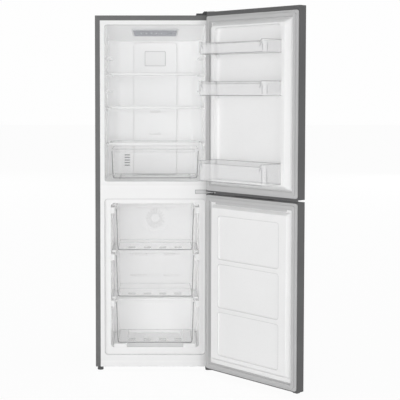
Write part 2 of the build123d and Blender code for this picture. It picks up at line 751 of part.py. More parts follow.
def shelf_glass(top):
    """Glass plate of a shelf whose trim ends at this level, with its back corners cut to the coves."""
    with BuildPart() as glass:
        with BuildSketch(Plane.XY.offset(top - SHELF_GLASS_DROP)):
            with BuildLine():
                Polyline(
                    (-SHELF_HALF, SHELF_FRONT + SHELF_TRIM_DEPTH - SHELF_GLASS_LAP),
                    (SHELF_HALF, SHELF_FRONT + SHELF_TRIM_DEPTH - SHELF_GLASS_LAP),
                    (SHELF_HALF, SHELF_BACK - SHELF_TAPER),
                    (SHELF_HALF - SHELF_TAPER, SHELF_BACK),
                    (SHELF_TAPER - SHELF_HALF, SHELF_BACK),
                    (-SHELF_HALF, SHELF_BACK - SHELF_TAPER),
                    close=True,
                )
            make_face()
        extrude(amount=-GLASS)
    return glass


def shelf_trim(top):
    """Front trim of a shelf, a rounded bar with a slot for the glass, notched at the ledges."""
    with BuildPart() as trim:
        with BuildSketch(Plane.YZ) as section:
            with Locations((SHELF_FRONT + SHELF_TRIM_DEPTH / 2, top - SHELF_TRIM_HEIGHT / 2)):
                Rectangle(SHELF_TRIM_DEPTH, SHELF_TRIM_HEIGHT)
            fillet(section.vertices().group_by(Axis.X)[0], TRIM_ROUND)
            groove_y = SHELF_FRONT + SHELF_TRIM_DEPTH - SHELF_GLASS_LAP / 2
            with Locations((groove_y, top - GLASS_UNDER + GLASS / 2)):
                Rectangle(SHELF_GLASS_LAP, GLASS, mode=Mode.SUBTRACT)
        extrude(amount=SHELF_HALF, both=True)
        for side in (-1, 1):
            inner = side * (FRIDGE_HALF - LEDGE_WIDTH - REST_GAP)
            outer = side * FRIDGE_HALF
            slab(
                (min(inner, outer), SHELF_FRONT, top - SHELF_TRIM_HEIGHT),
                (max(inner, outer), SHELF_FRONT + SHELF_TRIM_DEPTH, top - GLASS_UNDER),
                Mode.SUBTRACT,
            )
    return trim


for shelf_name, shelf_top in (
    ("upper_shelf", UPPER_SHELF_TOP),
    ("lower_shelf", LOWER_SHELF_TOP),
    ("crisper_cover", CRISPER_COVER_TOP),
):
    write(shelf_glass(shelf_top), f"{shelf_name}_glass")
    write(shelf_trim(shelf_top), f"{shelf_name}_trim")


# Drawers

def tray_level(z, half, front, back, radius):
    """Rounded rectangle of a tray at one level, drawn from above."""
    with BuildSketch(Plane.XY.offset(z)) as sketch:
        with Locations((0, (front + back) / 2)):
            RectangleRounded(2 * half, back - front, radius)
    return sketch.sketch


def open_tray(half, lean, front, back, floor, rim):
    """Open tray that narrows by lean on every side from its rim down to its floor."""
    slant = lean * DRAWER_WALL / (rim - floor)
    lower = tray_level(floor, half - lean, front + lean, back - lean, DRAWER_CORNER)
    upper = tray_level(rim, half, front, back, DRAWER_CORNER)
    loft([lower, upper], ruled=True)
    inset = lean - slant + DRAWER_WALL
    round_inside = DRAWER_CORNER - DRAWER_WALL
    lower = tray_level(floor + DRAWER_WALL, half - inset, front + inset, back - inset, round_inside)
    upper = tray_level(rim, half - DRAWER_WALL, front + DRAWER_WALL, back - DRAWER_WALL, round_inside)
    loft([lower, upper], ruled=True, mode=Mode.SUBTRACT)


def front_grip(front, rim, length):
    """Hooked lip along the middle of a tray's front edge."""
    with BuildSketch(Plane.YZ) as hook:
        with BuildLine():
            Polyline(
                (front + DRAWER_WALL / 2, rim),
                (front - DRAWER_GRIP_REACH, rim),
                (front - DRAWER_GRIP_REACH, rim - DRAWER_GRIP_DROP),
                (front - DRAWER_GRIP_REACH + DRAWER_WALL, rim - DRAWER_GRIP_DROP),
                (front - DRAWER_GRIP_REACH + DRAWER_WALL, rim - DRAWER_WALL),
                (front + DRAWER_WALL / 2, rim - DRAWER_WALL),
                close=True,
            )
        make_face()
    extrude(hook.sketch, amount=length / 2, both=True)


def freezer_drawer(level):
    """Freezer drawer with a flange along each side that rides on the liner's runners."""
    floor = DRAWER_FLOORS[level]
    rim = floor + DRAWER_HEIGHT
    front = FRONT + DRAWER_SETBACK
    back = drawer_back(level)
    half = FREEZER_HALF - DRAWER_SIDE_GAP
    with BuildPart() as drawer:
        open_tray(half, DRAWER_LEAN, front, back, floor, rim)
        for side in (-1, 1):
            inner = side * (half - DRAWER_WALL / 2)
            outer = side * (FREEZER_HALF - DRAWER_FLANGE_GAP)
            slab(
                (min(inner, outer), front + DRAWER_CORNER, rim - DRAWER_LIP),
                (max(inner, outer), back - DRAWER_CORNER, rim),
            )
        front_grip(front, rim, DRAWER_GRIP_LENGTH)
        lean_at_tab = DRAWER_LEAN * (1 - (DRAWER_TAB_RISE + DRAWER_TAB_HEIGHT) / DRAWER_HEIGHT)
        tab_back = front + lean_at_tab + DRAWER_WALL / 2
        with BuildSketch(facing(tab_back)):
            with Locations((0, floor + DRAWER_TAB_RISE)):
                with GridLocations(DRAWER_TAB_PITCH, 0, DRAWER_TAB_COUNT, 1):
                    SlotOverall(DRAWER_TAB_LENGTH, DRAWER_TAB_HEIGHT)
        extrude(amount=DRAWER_WALL / 2 + DRAWER_TAB_PROUD)
    return drawer


for level, drawer_name in enumerate(("bottom", "middle", "top")):
    write(freezer_drawer(level), f"freezer_drawer_{drawer_name}")

CRISPER_FLOOR = FRIDGE_FLOOR + CRISPER_LIFT

with BuildPart() as crisper_drawer:
    crisper_back = SHELF_BACK
    crisper_rim = CRISPER_FLOOR + CRISPER_HEIGHT
    open_tray(CRISPER_HALF_WIDTH, CRISPER_LEAN, SHELF_FRONT, crisper_back, CRISPER_FLOOR, crisper_rim)
    front_grip(SHELF_FRONT, crisper_rim, CRISPER_GRIP_LENGTH)
    for side in (-1, 1):
        runner_x = side * (CRISPER_HALF_WIDTH - CRISPER_RUNNER_INSET)
        slab(
            (
                runner_x - CRISPER_RUNNER_WIDTH / 2,
                SHELF_FRONT + 2 * DRAWER_CORNER,
                FRIDGE_FLOOR + REST_GAP,
            ),
            (
                runner_x + CRISPER_RUNNER_WIDTH / 2,
                crisper_back - 2 * DRAWER_CORNER,
                CRISPER_FLOOR + DRAWER_WALL / 2,
            ),
        )
write(crisper_drawer, "crisper_drawer")

# Freezer air cover, coil and fan

with BuildPart() as freezer_back_cover:
    slab(
        (-FREEZER_HALF + SEAT_GAP, AIR_COVER_FRONT, STEP_TOP),
        (FREEZER_HALF - SEAT_GAP, AIR_COVER_BACK, FREEZER_CEILING - SEAT_GAP),
    )
    corner_edges = freezer_back_cover.edges().filter_by(Axis.Y)
    fillet(corner_edges, FREEZER_CORNER)
    with BuildSketch(facing(AIR_COVER_FRONT)):
        with Locations((0, FAN_Z)):
            Circle(FAN_RING_RADIUS)
            Circle(FAN_RING_RADIUS - FAN_RING_WIDTH, mode=Mode.SUBTRACT)
    extrude(amount=FAN_RING_PROUD)
    with BuildSketch(facing(AIR_COVER_BACK)):
        with Locations((0, FAN_Z)):
            with PolarLocations(FAN_SLOT_RADIUS, FAN_SLOTS):
                SlotOverall(FAN_SLOT_LENGTH, FAN_SLOT_WIDTH)
        with Locations((0, (STEP_TOP + FAN_Z - FAN_RING_RADIUS) / 2)):
            with GridLocations(2 * OUTLET_WIDTH, DRAWER_PITCH / 2, 2, 2):
                SlotOverall(OUTLET_WIDTH, OUTLET_HEIGHT)
    extrude(amount=AIR_COVER_SHEET, mode=Mode.SUBTRACT)
write(freezer_back_cover, "freezer_back_cover")

COIL_FRONT = AIR_COVER_BACK + (AIR_COVER_GAP - COIL_DEPTH) / 2
COIL_LOW = STEP_TOP

with BuildPart() as evaporator:
    with Locations((0, COIL_FRONT + COIL_DEPTH / 2, COIL_LOW + COIL_HEIGHT / 2)):
        with GridLocations(2 * COIL_HALF_WIDTH / (COIL_FINS - 1), 0, COIL_FINS, 1):
            Box(COIL_FIN_SHEET, COIL_DEPTH, COIL_HEIGHT)
        with GridLocations(0, COIL_DEPTH / 2, 1, 2):
            coil_pitch = COIL_HEIGHT / COIL_ROWS
            with Locations([(0, 0, (row - (COIL_ROWS - 1) / 2) * coil_pitch) for row in range(COIL_ROWS)]):
                Cylinder(COIL_TUBE_RADIUS, 2 * COIL_HALF_WIDTH + COIL_TUBE_RADIUS, rotation=(0, 90, 0))
write(evaporator, "evaporator")

FAN_FRONT = AIR_COVER_BACK + FAN_FRONT_GAP
FAN_REAR = FAN_FRONT + FAN_HUB_LENGTH
MOTOR_FRONT = FAN_REAR + MOTOR_GAP
MOTOR_REAR = MOTOR_FRONT + MOTOR_LENGTH

with BuildPart() as fan_motor:
    with BuildSketch(facing(MOTOR_REAR)):
        with Locations((0, FAN_Z)):
            Circle(MOTOR_RADIUS)
    extrude(amount=MOTOR_LENGTH)
    with BuildSketch(facing(MOTOR_REAR)):
        with Locations((0, FAN_Z)):
            SlotOverall(2 * (MOTOR_BAR_HALF + MOTOR_POST_RADIUS), 2 * MOTOR_POST_RADIUS)
    extrude(amount=MOTOR_BAR_SHEET)
    with BuildSketch(facing(MOTOR_REAR)):
        with Locations((-MOTOR_BAR_HALF, FAN_Z), (MOTOR_BAR_HALF, FAN_Z)):
            Circle(MOTOR_POST_RADIUS)
    extrude(amount=MOTOR_REAR - AIR_COVER_BACK)
    with BuildSketch(facing(MOTOR_FRONT)):
        with Locations((0, FAN_Z)):
            Circle(MOTOR_SHAFT_RADIUS)
    extrude(amount=MOTOR_GAP + FAN_HUB_LENGTH / 2)
write(fan_motor, "fan_motor")

with BuildPart() as fan_blade:
    with BuildSketch(facing(FAN_REAR)):
        with Locations((0, FAN_Z)):
            Circle(FAN_HUB_RADIUS)
    extrude(amount=FAN_HUB_LENGTH)
    fillet(fan_blade.faces().sort_by(Axis.Y)[0].edges(), TRIM_ROUND)
    root = FAN_HUB_RADIUS - TRIM_ROUND
    for turn in range(FAN_BLADES):
        angle = 2 * pi * turn / FAN_BLADES
        outward = (cos(angle), 0, sin(angle))
        blade_root = (root * cos(angle), (FAN_FRONT + FAN_REAR) / 2, FAN_Z + root * sin(angle))
        with BuildSketch(Plane(blade_root, x_dir=(0, 1, 0), z_dir=outward)):
            Rectangle(FAN_BLADE_CHORD, FAN_BLADE_SHEET, rotation=FAN_BLADE_PITCH)
        extrude(amount=FAN_RADIUS - root)
    with BuildSketch(facing(FAN_REAR)):
        with Locations((0, FAN_Z)):
            Circle(MOTOR_SHAFT_RADIUS + PIN_FIT)
    extrude(amount=FAN_HUB_LENGTH / 2 + SEAT_GAP, mode=Mode.SUBTRACT)
write(fan_blade, "fan_blade")


# Hinges

TOP_ARM_LOW = FRIDGE_DOOR_HIGH + TOP_HINGE_HEADROOM
TOP_ARM_HIGH = TOP_ARM_LOW + HINGE_PLATE
HINGE_EDGE = HINGE_X + HINGE_TIP
MID_ARM_LOW = FREEZER_DOOR_HIGH + (DOOR_SPLIT - HINGE_ARM) / 2
MID_ARM_HIGH = MID_ARM_LOW + HINGE_ARM

with BuildPart() as top_hinge:
    with BuildSketch(Plane.YZ.offset(HINGE_EDGE)):
        with BuildLine():
            Polyline(
                (FRONT + TOP_HINGE_INSET + TOP_HINGE_FOOT, CABINET_TOP),
                (FRONT + TOP_HINGE_INSET, CABINET_TOP),
                (FRONT + TOP_HINGE_INSET, TOP_ARM_LOW),
                (HINGE_Y - HINGE_TIP, TOP_ARM_LOW),
                (HINGE_Y - HINGE_TIP, TOP_ARM_HIGH),
                (FRONT + TOP_HINGE_INSET + HINGE_PLATE, TOP_ARM_HIGH),
                (FRONT + TOP_HINGE_INSET + HINGE_PLATE, CABINET_TOP + HINGE_PLATE),
                (FRONT + TOP_HINGE_INSET + TOP_HINGE_FOOT, CABINET_TOP + HINGE_PLATE),
                close=True,
            )
        make_face()
    extrude(amount=-HINGE_ARM_WIDTH)
    tip = top_hinge.edges().filter_by(Axis.Z).group_by(Axis.Y)[0]
    fillet(tip, HINGE_TIP - HINGE_PLATE)
    post(HINGE_X, HINGE_Y, TOP_ARM_LOW - PIN_LENGTH, TOP_ARM_LOW + HINGE_PLATE / 2, PIN_RADIUS)
write(top_hinge, "top_hinge")

with BuildPart() as top_hinge_cover:
    with BuildSketch(facing(FRONT + TOP_HINGE_INSET - COVER_WALL)) as cover_outline:
        with BuildLine():
            Polyline(
                (HINGE_EDGE + COVER_WALL, CABINET_TOP),
                (HINGE_EDGE + COVER_WALL, CABINET_TOP + COVER_HEIGHT),
                (HINGE_EDGE - COVER_WIDTH + COVER_STEP_WIDTH + COVER_STEP_HEIGHT, CABINET_TOP + COVER_HEIGHT),
                (HINGE_EDGE - COVER_WIDTH + COVER_STEP_WIDTH, CABINET_TOP + COVER_STEP_HEIGHT),
                (HINGE_EDGE - COVER_WIDTH, CABINET_TOP + COVER_STEP_HEIGHT),
                (HINGE_EDGE - COVER_WIDTH, CABINET_TOP),
                close=True,
            )
        make_face()
    extrude(amount=-COVER_LENGTH)
    with BuildSketch(facing(FRONT + TOP_HINGE_INSET)):
        with BuildLine():
            Polyline(
                (HINGE_EDGE + FIT_GAP, CABINET_TOP),
                (HINGE_EDGE + FIT_GAP, CABINET_TOP + COVER_HEIGHT - COVER_WALL),
                (
                    HINGE_EDGE - COVER_WIDTH + COVER_STEP_WIDTH + COVER_STEP_HEIGHT + COVER_WALL,
                    CABINET_TOP + COVER_HEIGHT - COVER_WALL,
                ),
                (
                    HINGE_EDGE - COVER_WIDTH + COVER_STEP_WIDTH + COVER_WALL,
                    CABINET_TOP + COVER_STEP_HEIGHT - COVER_WALL,
                ),
                (HINGE_EDGE - COVER_WIDTH + COVER_WALL, CABINET_TOP + COVER_STEP_HEIGHT - COVER_WALL),
                (HINGE_EDGE - COVER_WIDTH + COVER_WALL, CABINET_TOP),
                close=True,
            )
        make_face()
    extrude(amount=-(COVER_LENGTH - 2 * COVER_WALL), mode=Mode.SUBTRACT)
    slab(
        (HINGE_EDGE - HINGE_ARM_WIDTH - FIT_GAP, FRONT, CABINET_TOP),
        (HINGE_EDGE + FIT_GAP, FRONT + TOP_HINGE_INSET, CABINET_TOP + COVER_HEIGHT - COVER_WALL),
        Mode.SUBTRACT,
    )
write(top_hinge_cover, "top_hinge_cover")

with BuildPart() as mid_hinge:
    plate_low = (MID_ARM_LOW + MID_ARM_HIGH - MID_HINGE_HEIGHT) / 2
    slab(
        (HINGE_EDGE - MID_HINGE_WIDTH, FRONT - HINGE_PLATE, plate_low),
        (HINGE_EDGE, FRONT, plate_low + MID_HINGE_HEIGHT),
    )
    slab((HINGE_EDGE - HINGE_ARM_WIDTH, HINGE_Y - HINGE_TIP, MID_ARM_LOW), (HINGE_EDGE, FRONT, MID_ARM_HIGH))
    tip = mid_hinge.edges().filter_by(Axis.Z).group_by(Axis.Y)[0]
    fillet(tip, HINGE_TIP - HINGE_PLATE)
    post(HINGE_X, HINGE_Y, MID_ARM_LOW - PIN_LENGTH, MID_ARM_HIGH + PIN_LENGTH, PIN_RADIUS)
write(mid_hinge, "mid_hinge")

with BuildPart() as bottom_hinge:
    slab(
        (HINGE_EDGE - BOTTOM_HINGE_WIDTH, HINGE_Y - HINGE_TIP, FOOT_HEIGHT - HINGE_ARM),
        (HINGE_EDGE, FRONT + BOTTOM_HINGE_FOOT, FOOT_HEIGHT),
    )
    tip = bottom_hinge.edges().filter_by(Axis.Z).group_by(Axis.Y)[0]
    fillet(tip, HINGE_TIP - HINGE_PLATE)
    post(HINGE_X, HINGE_Y, FOOT_HEIGHT - HINGE_ARM / 2, FOOT_HEIGHT + PIN_LENGTH, PIN_RADIUS)
    post(
        FOOT_SPOTS[1][0],
        FOOT_SPOTS[1][1],
        FOOT_HEIGHT - HINGE_ARM,
        FOOT_HEIGHT,
        FOOT_STEM_RADIUS + FIT_GAP,
        Mode.SUBTRACT,
    )
write(bottom_hinge, "bottom_hinge")

with BuildPart() as hinge_screws:
    screw_x = HINGE_EDGE - HINGE_ARM_WIDTH / 2
    screw_y = FRONT + TOP_HINGE_INSET + TOP_HINGE_FOOT / 2 + HINGE_PLATE
    with BuildSketch(Plane.XY.offset(CABINET_TOP + HINGE_PLATE)):
        with Locations((screw_x, screw_y)):
            with GridLocations(0, SCREW_SPACING, 1, 2):
                RegularPolygon(SCREW_HEAD_RADIUS, 6)
    extrude(amount=SCREW_HEAD)
    with BuildSketch(facing(FRONT - HINGE_PLATE)):
        screw_middle = HINGE_EDGE - MID_HINGE_WIDTH + SCREW_EDGE + SCREW_SPACING / 2
        with Locations((screw_middle, (MID_ARM_LOW + MID_ARM_HIGH) / 2)):
            with GridLocations(SCREW_SPACING, 0, 2, 1):
                RegularPolygon(SCREW_HEAD_RADIUS, 6)
    extrude(amount=SCREW_HEAD)
    with BuildSketch(Plane.XY.offset(FOOT_HEIGHT - HINGE_ARM)):
        with Locations((HINGE_EDGE - BOTTOM_HINGE_WIDTH / 2, FRONT + BOTTOM_HINGE_FOOT - SCREW_EDGE)):
            with GridLocations(SCREW_SPACING / 2, 0, 2, 1):
                RegularPolygon(SCREW_HEAD_RADIUS, 6)
    extrude(amount=-SCREW_HEAD)
write(hinge_screws, "hinge_screws")

# Feet and rollers

for (foot_x, foot_y), foot_name in zip(FOOT_SPOTS, ("front_left_foot", "front_right_foot")):
    with BuildPart() as foot:
        post(foot_x, foot_y, 0, FOOT_PAD_HEIGHT, FOOT_PAD_RADIUS)
        fillet(foot.edges().filter_by(GeomType.CIRCLE).sort_by(Axis.Z)[-1], TRIM_ROUND)
        neck_top = FOOT_HEIGHT - HINGE_ARM - REST_GAP
        post(foot_x, foot_y, FOOT_PAD_HEIGHT, neck_top, 2 * FOOT_STEM_RADIUS)
        post(foot_x, foot_y, neck_top, FOOT_HEIGHT + FOOT_STEM_LENGTH, FOOT_STEM_RADIUS)
    write(foot, foot_name)

ROLLER_Y = BACK - ROLLER_INSET_Y
ROLLER_SPOTS = [side * (HALF_WIDTH - ROLLER_INSET_X) for side in (-1, 1)]
EAR_OFFSET = ROLLER_WIDTH / 2 + SEAT_GAP + EAR_SHEET / 2

with BuildPart() as compressor_deck:
    slab(
        (-INSIDE_HALF, NICHE_FRONT, DECK_TOP - DECK_SHEET),
        (INSIDE_HALF, BACK - REAR_COVER_SHEET, DECK_TOP),
    )
    for roller_x in ROLLER_SPOTS:
        for side in (-1, 1):
            ear_x = roller_x + side * EAR_OFFSET
            slab(
                (ear_x - EAR_SHEET / 2, ROLLER_Y - EAR_HALF_LENGTH, ROLLER_RADIUS - 2 * AXLE_RADIUS),
                (ear_x + EAR_SHEET / 2, ROLLER_Y + EAR_HALF_LENGTH, DECK_TOP - DECK_SHEET),
            )
            with Locations(Location((ear_x, ROLLER_Y, ROLLER_RADIUS), (0, 90, 0))):
                Cylinder(AXLE_RADIUS + PIN_FIT, 2 * EAR_SHEET, mode=Mode.SUBTRACT)
write(compressor_deck, "compressor_deck")

with BuildPart() as roller_axles:
    for roller_x in ROLLER_SPOTS:
        with Locations(Location((roller_x, ROLLER_Y, ROLLER_RADIUS), (0, 90, 0))):
            Cylinder(AXLE_RADIUS, 2 * (EAR_OFFSET + EAR_SHEET))
write(roller_axles, "roller_axles")

for roller_x, roller_name in zip(ROLLER_SPOTS, ("rear_left_roller", "rear_right_roller")):
    with BuildPart() as roller:
        with Locations(Location((roller_x, ROLLER_Y, ROLLER_RADIUS), (0, 90, 0))):
            Cylinder(ROLLER_RADIUS, ROLLER_WIDTH)
            Cylinder(AXLE_RADIUS + PIN_FIT, ROLLER_WIDTH, mode=Mode.SUBTRACT)
    write(roller, roller_name)

# Machine compartment

COMPRESSOR_Y = BACK - COMPRESSOR_INSET_Y
COMPRESSOR_BASE = DECK_TOP + MOUNT_HEIGHT

with BuildPart() as compressor_mounts:
    with Locations((COMPRESSOR_X, COMPRESSOR_Y, DECK_TOP + MOUNT_HEIGHT / 2)):
        with GridLocations(MOUNT_SPACING_X, MOUNT_SPACING_Y, 2, 2):
            Cylinder(MOUNT_RADIUS, MOUNT_HEIGHT)
write(compressor_mounts, "compressor_mounts")

SHELL_LOW = COMPRESSOR_BASE + BASE_PLATE
SHELL_HIGH = SHELL_LOW + COMPRESSOR_HEIGHT

with BuildPart() as compressor:
    post(COMPRESSOR_X, COMPRESSOR_Y, SHELL_LOW, SHELL_HIGH, COMPRESSOR_RADIUS)
    rims = compressor.edges().filter_by(GeomType.CIRCLE)
    fillet(rims, COMPRESSOR_DOME)
    seam = (SHELL_LOW + SHELL_HIGH) / 2
    post(COMPRESSOR_X, COMPRESSOR_Y, seam - SEAM_HEIGHT / 2, seam + SEAM_HEIGHT / 2, SEAM_RADIUS)
    with BuildSketch(Plane.XY.offset(COMPRESSOR_BASE)):
        with Locations((COMPRESSOR_X, COMPRESSOR_Y)):
            RectangleRounded(
                MOUNT_SPACING_X + 2 * BASE_PLATE_MARGIN,
                MOUNT_SPACING_Y + 2 * BASE_PLATE_MARGIN,
                BASE_PLATE_MARGIN,
            )
    extrude(amount=BASE_PLATE)
    for stub_rise in (SEAM_HEIGHT * 3, -SEAM_HEIGHT * 3):
        stub_spot = (COMPRESSOR_X + COMPRESSOR_RADIUS, COMPRESSOR_Y, seam + stub_rise)
        with Locations(Location(stub_spot, (0, 90, 0))):
            Cylinder(STUB_RADIUS, 2 * STUB_LENGTH)
write(compressor, "compressor")

with BuildPart() as drip_tray:
    with BuildSketch(Plane.XY.offset(SHELL_HIGH)):
        with Locations((COMPRESSOR_X, COMPRESSOR_Y)):
            RectangleRounded(TRAY_LENGTH, TRAY_WIDTH, DRAWER_CORNER)
    extrude(amount=TRAY_HEIGHT)
    with BuildSketch(Plane.XY.offset(SHELL_HIGH + TRAY_WALL)):
        with Locations((COMPRESSOR_X, COMPRESSOR_Y)):
            RectangleRounded(
                TRAY_LENGTH - 2 * TRAY_WALL,
                TRAY_WIDTH - 2 * TRAY_WALL,
                DRAWER_CORNER - TRAY_WALL,
            )
    extrude(amount=TRAY_HEIGHT, mode=Mode.SUBTRACT)
write(drip_tray, "drip_tray")

GLAND_X = INSIDE_HALF - GLAND_INSET
GLAND_Z = DECK_TOP + GLAND_INSET

with BuildPart() as compressor_cover:
    slab(
        (-INSIDE_HALF + SEAT_GAP, BACK - REAR_COVER_SHEET, DECK_TOP - DECK_SHEET),
        (INSIDE_HALF - SEAT_GAP, BACK, NICHE_TOP),
    )
    with BuildSketch(facing(BACK)):
        with Locations((0, (DECK_TOP + NICHE_TOP) / 2)):
            with GridLocations(REAR_SLOT_PITCH_X, REAR_SLOT_PITCH_Z, REAR_SLOT_COLUMNS, REAR_SLOT_ROWS):
                SlotOverall(REAR_SLOT_LENGTH, REAR_SLOT_HEIGHT)
        with Locations((GLAND_X, GLAND_Z)):
            Circle(GLAND_RADIUS)
    extrude(amount=REAR_COVER_SHEET, mode=Mode.SUBTRACT)
write(compressor_cover, "compressor_cover")

with BuildPart() as cable_gland:
    with BuildSketch(facing(BACK - REAR_COVER_SHEET)):
        with Locations((GLAND_X, GLAND_Z)):
            Circle(GLAND_RADIUS + GLAND_FLANGE)
    extrude(amount=GLAND_FLANGE)
    with BuildSketch(facing(BACK)):
        with Locations((GLAND_X, GLAND_Z)):
            Circle(GLAND_RADIUS - PIN_FIT)
    extrude(amount=GLAND_LENGTH)
    with BuildSketch(facing(BACK)):
        with Locations((GLAND_X, GLAND_Z)):
            Circle(GLAND_BORE)
    extrude(amount=GLAND_LENGTH, mode=Mode.SUBTRACT)
write(cable_gland, "cable_gland")


# Doors

def door_outline(inset, z):
    """Cross-section of a door at one level, rounded at its front edges, with its sides moved in."""
    with BuildSketch(Plane.XY.offset(z)) as outline:
        with Locations((0, (DOOR_OUTER + DOOR_INNER) / 2)):
            Rectangle(CABINET_WIDTH - 2 * inset, DOOR_THICKNESS - 2 * inset)
        fillet(outline.vertices().group_by(Axis.Y)[0], DOOR_EDGE_ROUND - inset)
    return outline.sketch


def end_cap(face, edge, upward, grip, hollow, lip=0):
    """Moulded end of a door with the hinge bore.

    face is the level of its outer face, edge the height that shows beside the skin, and upward is 1
    where the outer face looks up. A grip pocket or a hollow underside is made where asked for. lip is the
    height of the drip lip along the inner edge.
    """
    inner = face - upward * edge
    with BuildPart() as cap:
        extrude(door_outline(0, min(face, inner)), amount=edge)
        if hollow:
            roof = face - upward * CAP_WALL
            extrude(door_outline(CAP_WALL, min(roof, inner)), amount=abs(roof - inner), mode=Mode.SUBTRACT)
        if grip:
            grip_front = DOOR_OUTER + GRIP_INSET
            levels = sorted((inner - upward * GRIP_DEPTH, face - upward * edge / 2))
            slab(
                (-GRIP_LENGTH / 2 - CAP_WALL, grip_front - CAP_WALL, levels[0]),
                (GRIP_LENGTH / 2 + CAP_WALL, grip_front + GRIP_WIDTH + CAP_WALL, levels[1]),
            )
            levels = sorted((inner - upward * (GRIP_DEPTH - CAP_WALL), face))
            slab(
                (-GRIP_LENGTH / 2, grip_front, levels[0]),
                (GRIP_LENGTH / 2, grip_front + GRIP_WIDTH, levels[1]),
                Mode.SUBTRACT,
            )
        if lip:
            levels = sorted((face, face + upward * lip))
            slab(
                (-HALF_WIDTH + DOOR_EDGE_ROUND, DOOR_INNER - DRIP_LIP_INSET - CAP_WALL, levels[0]),
                (HALF_WIDTH - DRIP_LIP_HINGE_GAP, DOOR_INNER - DRIP_LIP_INSET, levels[1]),
            )
        bush_end = face - upward * (BUSH_DEPTH + CAP_WALL)
        post(HINGE_X, HINGE_Y, bush_end, face, PIN_RADIUS + BUSH_WALL)
        post(HINGE_X, HINGE_Y, face - upward * BUSH_DEPTH, face, PIN_RADIUS + PIN_FIT, Mode.SUBTRACT)
    return cap


def door_skin(low, high):
    """Folded steel front of a door with its sides and the lips behind the gasket."""
    with BuildPart() as skin:
        extrude(door_outline(0, low), amount=high - low)
        extrude(door_outline(DOOR_SHEET, low), amount=high - low, mode=Mode.SUBTRACT)
        slab(
            (-HALF_WIDTH + DOOR_LIP, DOOR_INNER - DOOR_SHEET, low),
            (HALF_WIDTH - DOOR_LIP, DOOR_INNER, high),
            Mode.SUBTRACT,
        )
    return skin


def door_gasket(low, high):
    """Door gasket: a flat flap all round with the raised magnet bead on it."""
    outer = HALF_WIDTH - GASKET_EDGE
    with BuildPart() as gasket:
        for start, width, height in (
            (0, GASKET_WIDTH, GASKET_FLAP),
            (GASKET_BEAD_OFFSET, GASKET_BEAD_WIDTH, GASKET_BEAD),
        ):
            with BuildSketch(facing(DOOR_INNER)):
                with Locations((0, (low + high) / 2)):
                    RectangleRounded(2 * (outer - start), high - low - 2 * start, GASKET_CORNER)
                    inside = start + width
                    RectangleRounded(
                        2 * (outer - inside),
                        high - low - 2 * inside,
                        GASKET_INNER_CORNER,
                        mode=Mode.SUBTRACT,
                    )
            extrude(amount=-height)
    return gasket


def raised_form(half, low, high, slope, height, inset):
    """Solid that rises from the door's inner face, sloped all round, with its walls moved in."""
    base = window(DOOR_INNER, half - inset, low + inset, high - inset, DIKE_CORNER)
    ridge = window(
        DOOR_INNER + height - inset,
        half - slope - inset,
        low + slope + inset,
        high - slope - inset,
        DIKE_CORNER,
    )
    with BuildPart() as form:
        loft([base, ridge], ruled=True)
        fillet(form.faces().sort_by(Axis.Y)[-1].edges(), DIKE_EDGE)
    add(form.part)


def hollow_form(hollows, grow, mode):
    """Rounded blocks sunk into a raised form.

    Each is (half width, low, high, corner, top corner, floor, roof, floor round), floor and roof above
    the door's inner face.
    """
    for half, low, high, corner, top_corner, floor, roof, floor_round in hollows:
        outline = window(
            DOOR_INNER + roof, half + grow, low - grow, high + grow, corner + grow, top_corner + grow
        )
        with BuildPart() as hollow:
            extrude(outline, amount=roof - floor + grow)
            fillet(hollow.faces().sort_by(Axis.Y)[0].edges(), floor_round)
        add(hollow.part, mode=mode)


def filling(shape, hollows):
    """Foam that stands in the raised form behind the liner sheet."""
    half, low, high = shape[:3]
    with BuildPart() as core:
        raised_form(*shape, LINER_SHEET)
        root = window(DOOR_INNER, half - LINER_SHEET, low + LINER_SHEET, high - LINER_SHEET, DIKE_CORNER)
        extrude(root, amount=LINER_SHEET)
        hollow_form(hollows, LINER_SHEET, Mode.SUBTRACT)
    return core.part


def door_liner(low, high, shape, hollows, core):
    """Moulded inner sheet of a door: a flat flange, the raised form and what is sunk into it."""
    with BuildPart() as liner:
        slab(
            (-HALF_WIDTH + DOOR_LIP, DOOR_INNER - LINER_SHEET, low),
            (HALF_WIDTH - DOOR_LIP, DOOR_INNER, high),
        )
        raised_form(*shape, 0)
        hollow_form(hollows, 0, Mode.SUBTRACT)
        add(core, mode=Mode.SUBTRACT)
    return liner


def door_foam(low, high, core, caps):
    """Foam between a door's skin and its liner, cut where the caps reach into it."""
    with BuildPart() as foam:
        extrude(door_outline(DOOR_SHEET, low), amount=high - low)
        slab(
            (-HALF_WIDTH, DOOR_INNER - LINER_SHEET, low),
            (HALF_WIDTH, DOOR_INNER, high),
            Mode.SUBTRACT,
        )
        add(core)
        for upward, face, grip in caps:
            bush_end = face - upward * (BUSH_DEPTH + CAP_WALL)
            post(HINGE_X, HINGE_Y, bush_end, face, PIN_RADIUS + BUSH_WALL, Mode.SUBTRACT)
            if grip:
                grip_front = DOOR_OUTER + GRIP_INSET
                edge = low if upward < 0 else high
                levels = sorted((edge, edge - upward * GRIP_DEPTH))
                slab(
                    (-GRIP_LENGTH / 2 - CAP_WALL, grip_front - CAP_WALL, levels[0]),
                    (GRIP_LENGTH / 2 + CAP_WALL, grip_front + GRIP_WIDTH + CAP_WALL, levels[1]),
                    Mode.SUBTRACT,
                )
    return foam


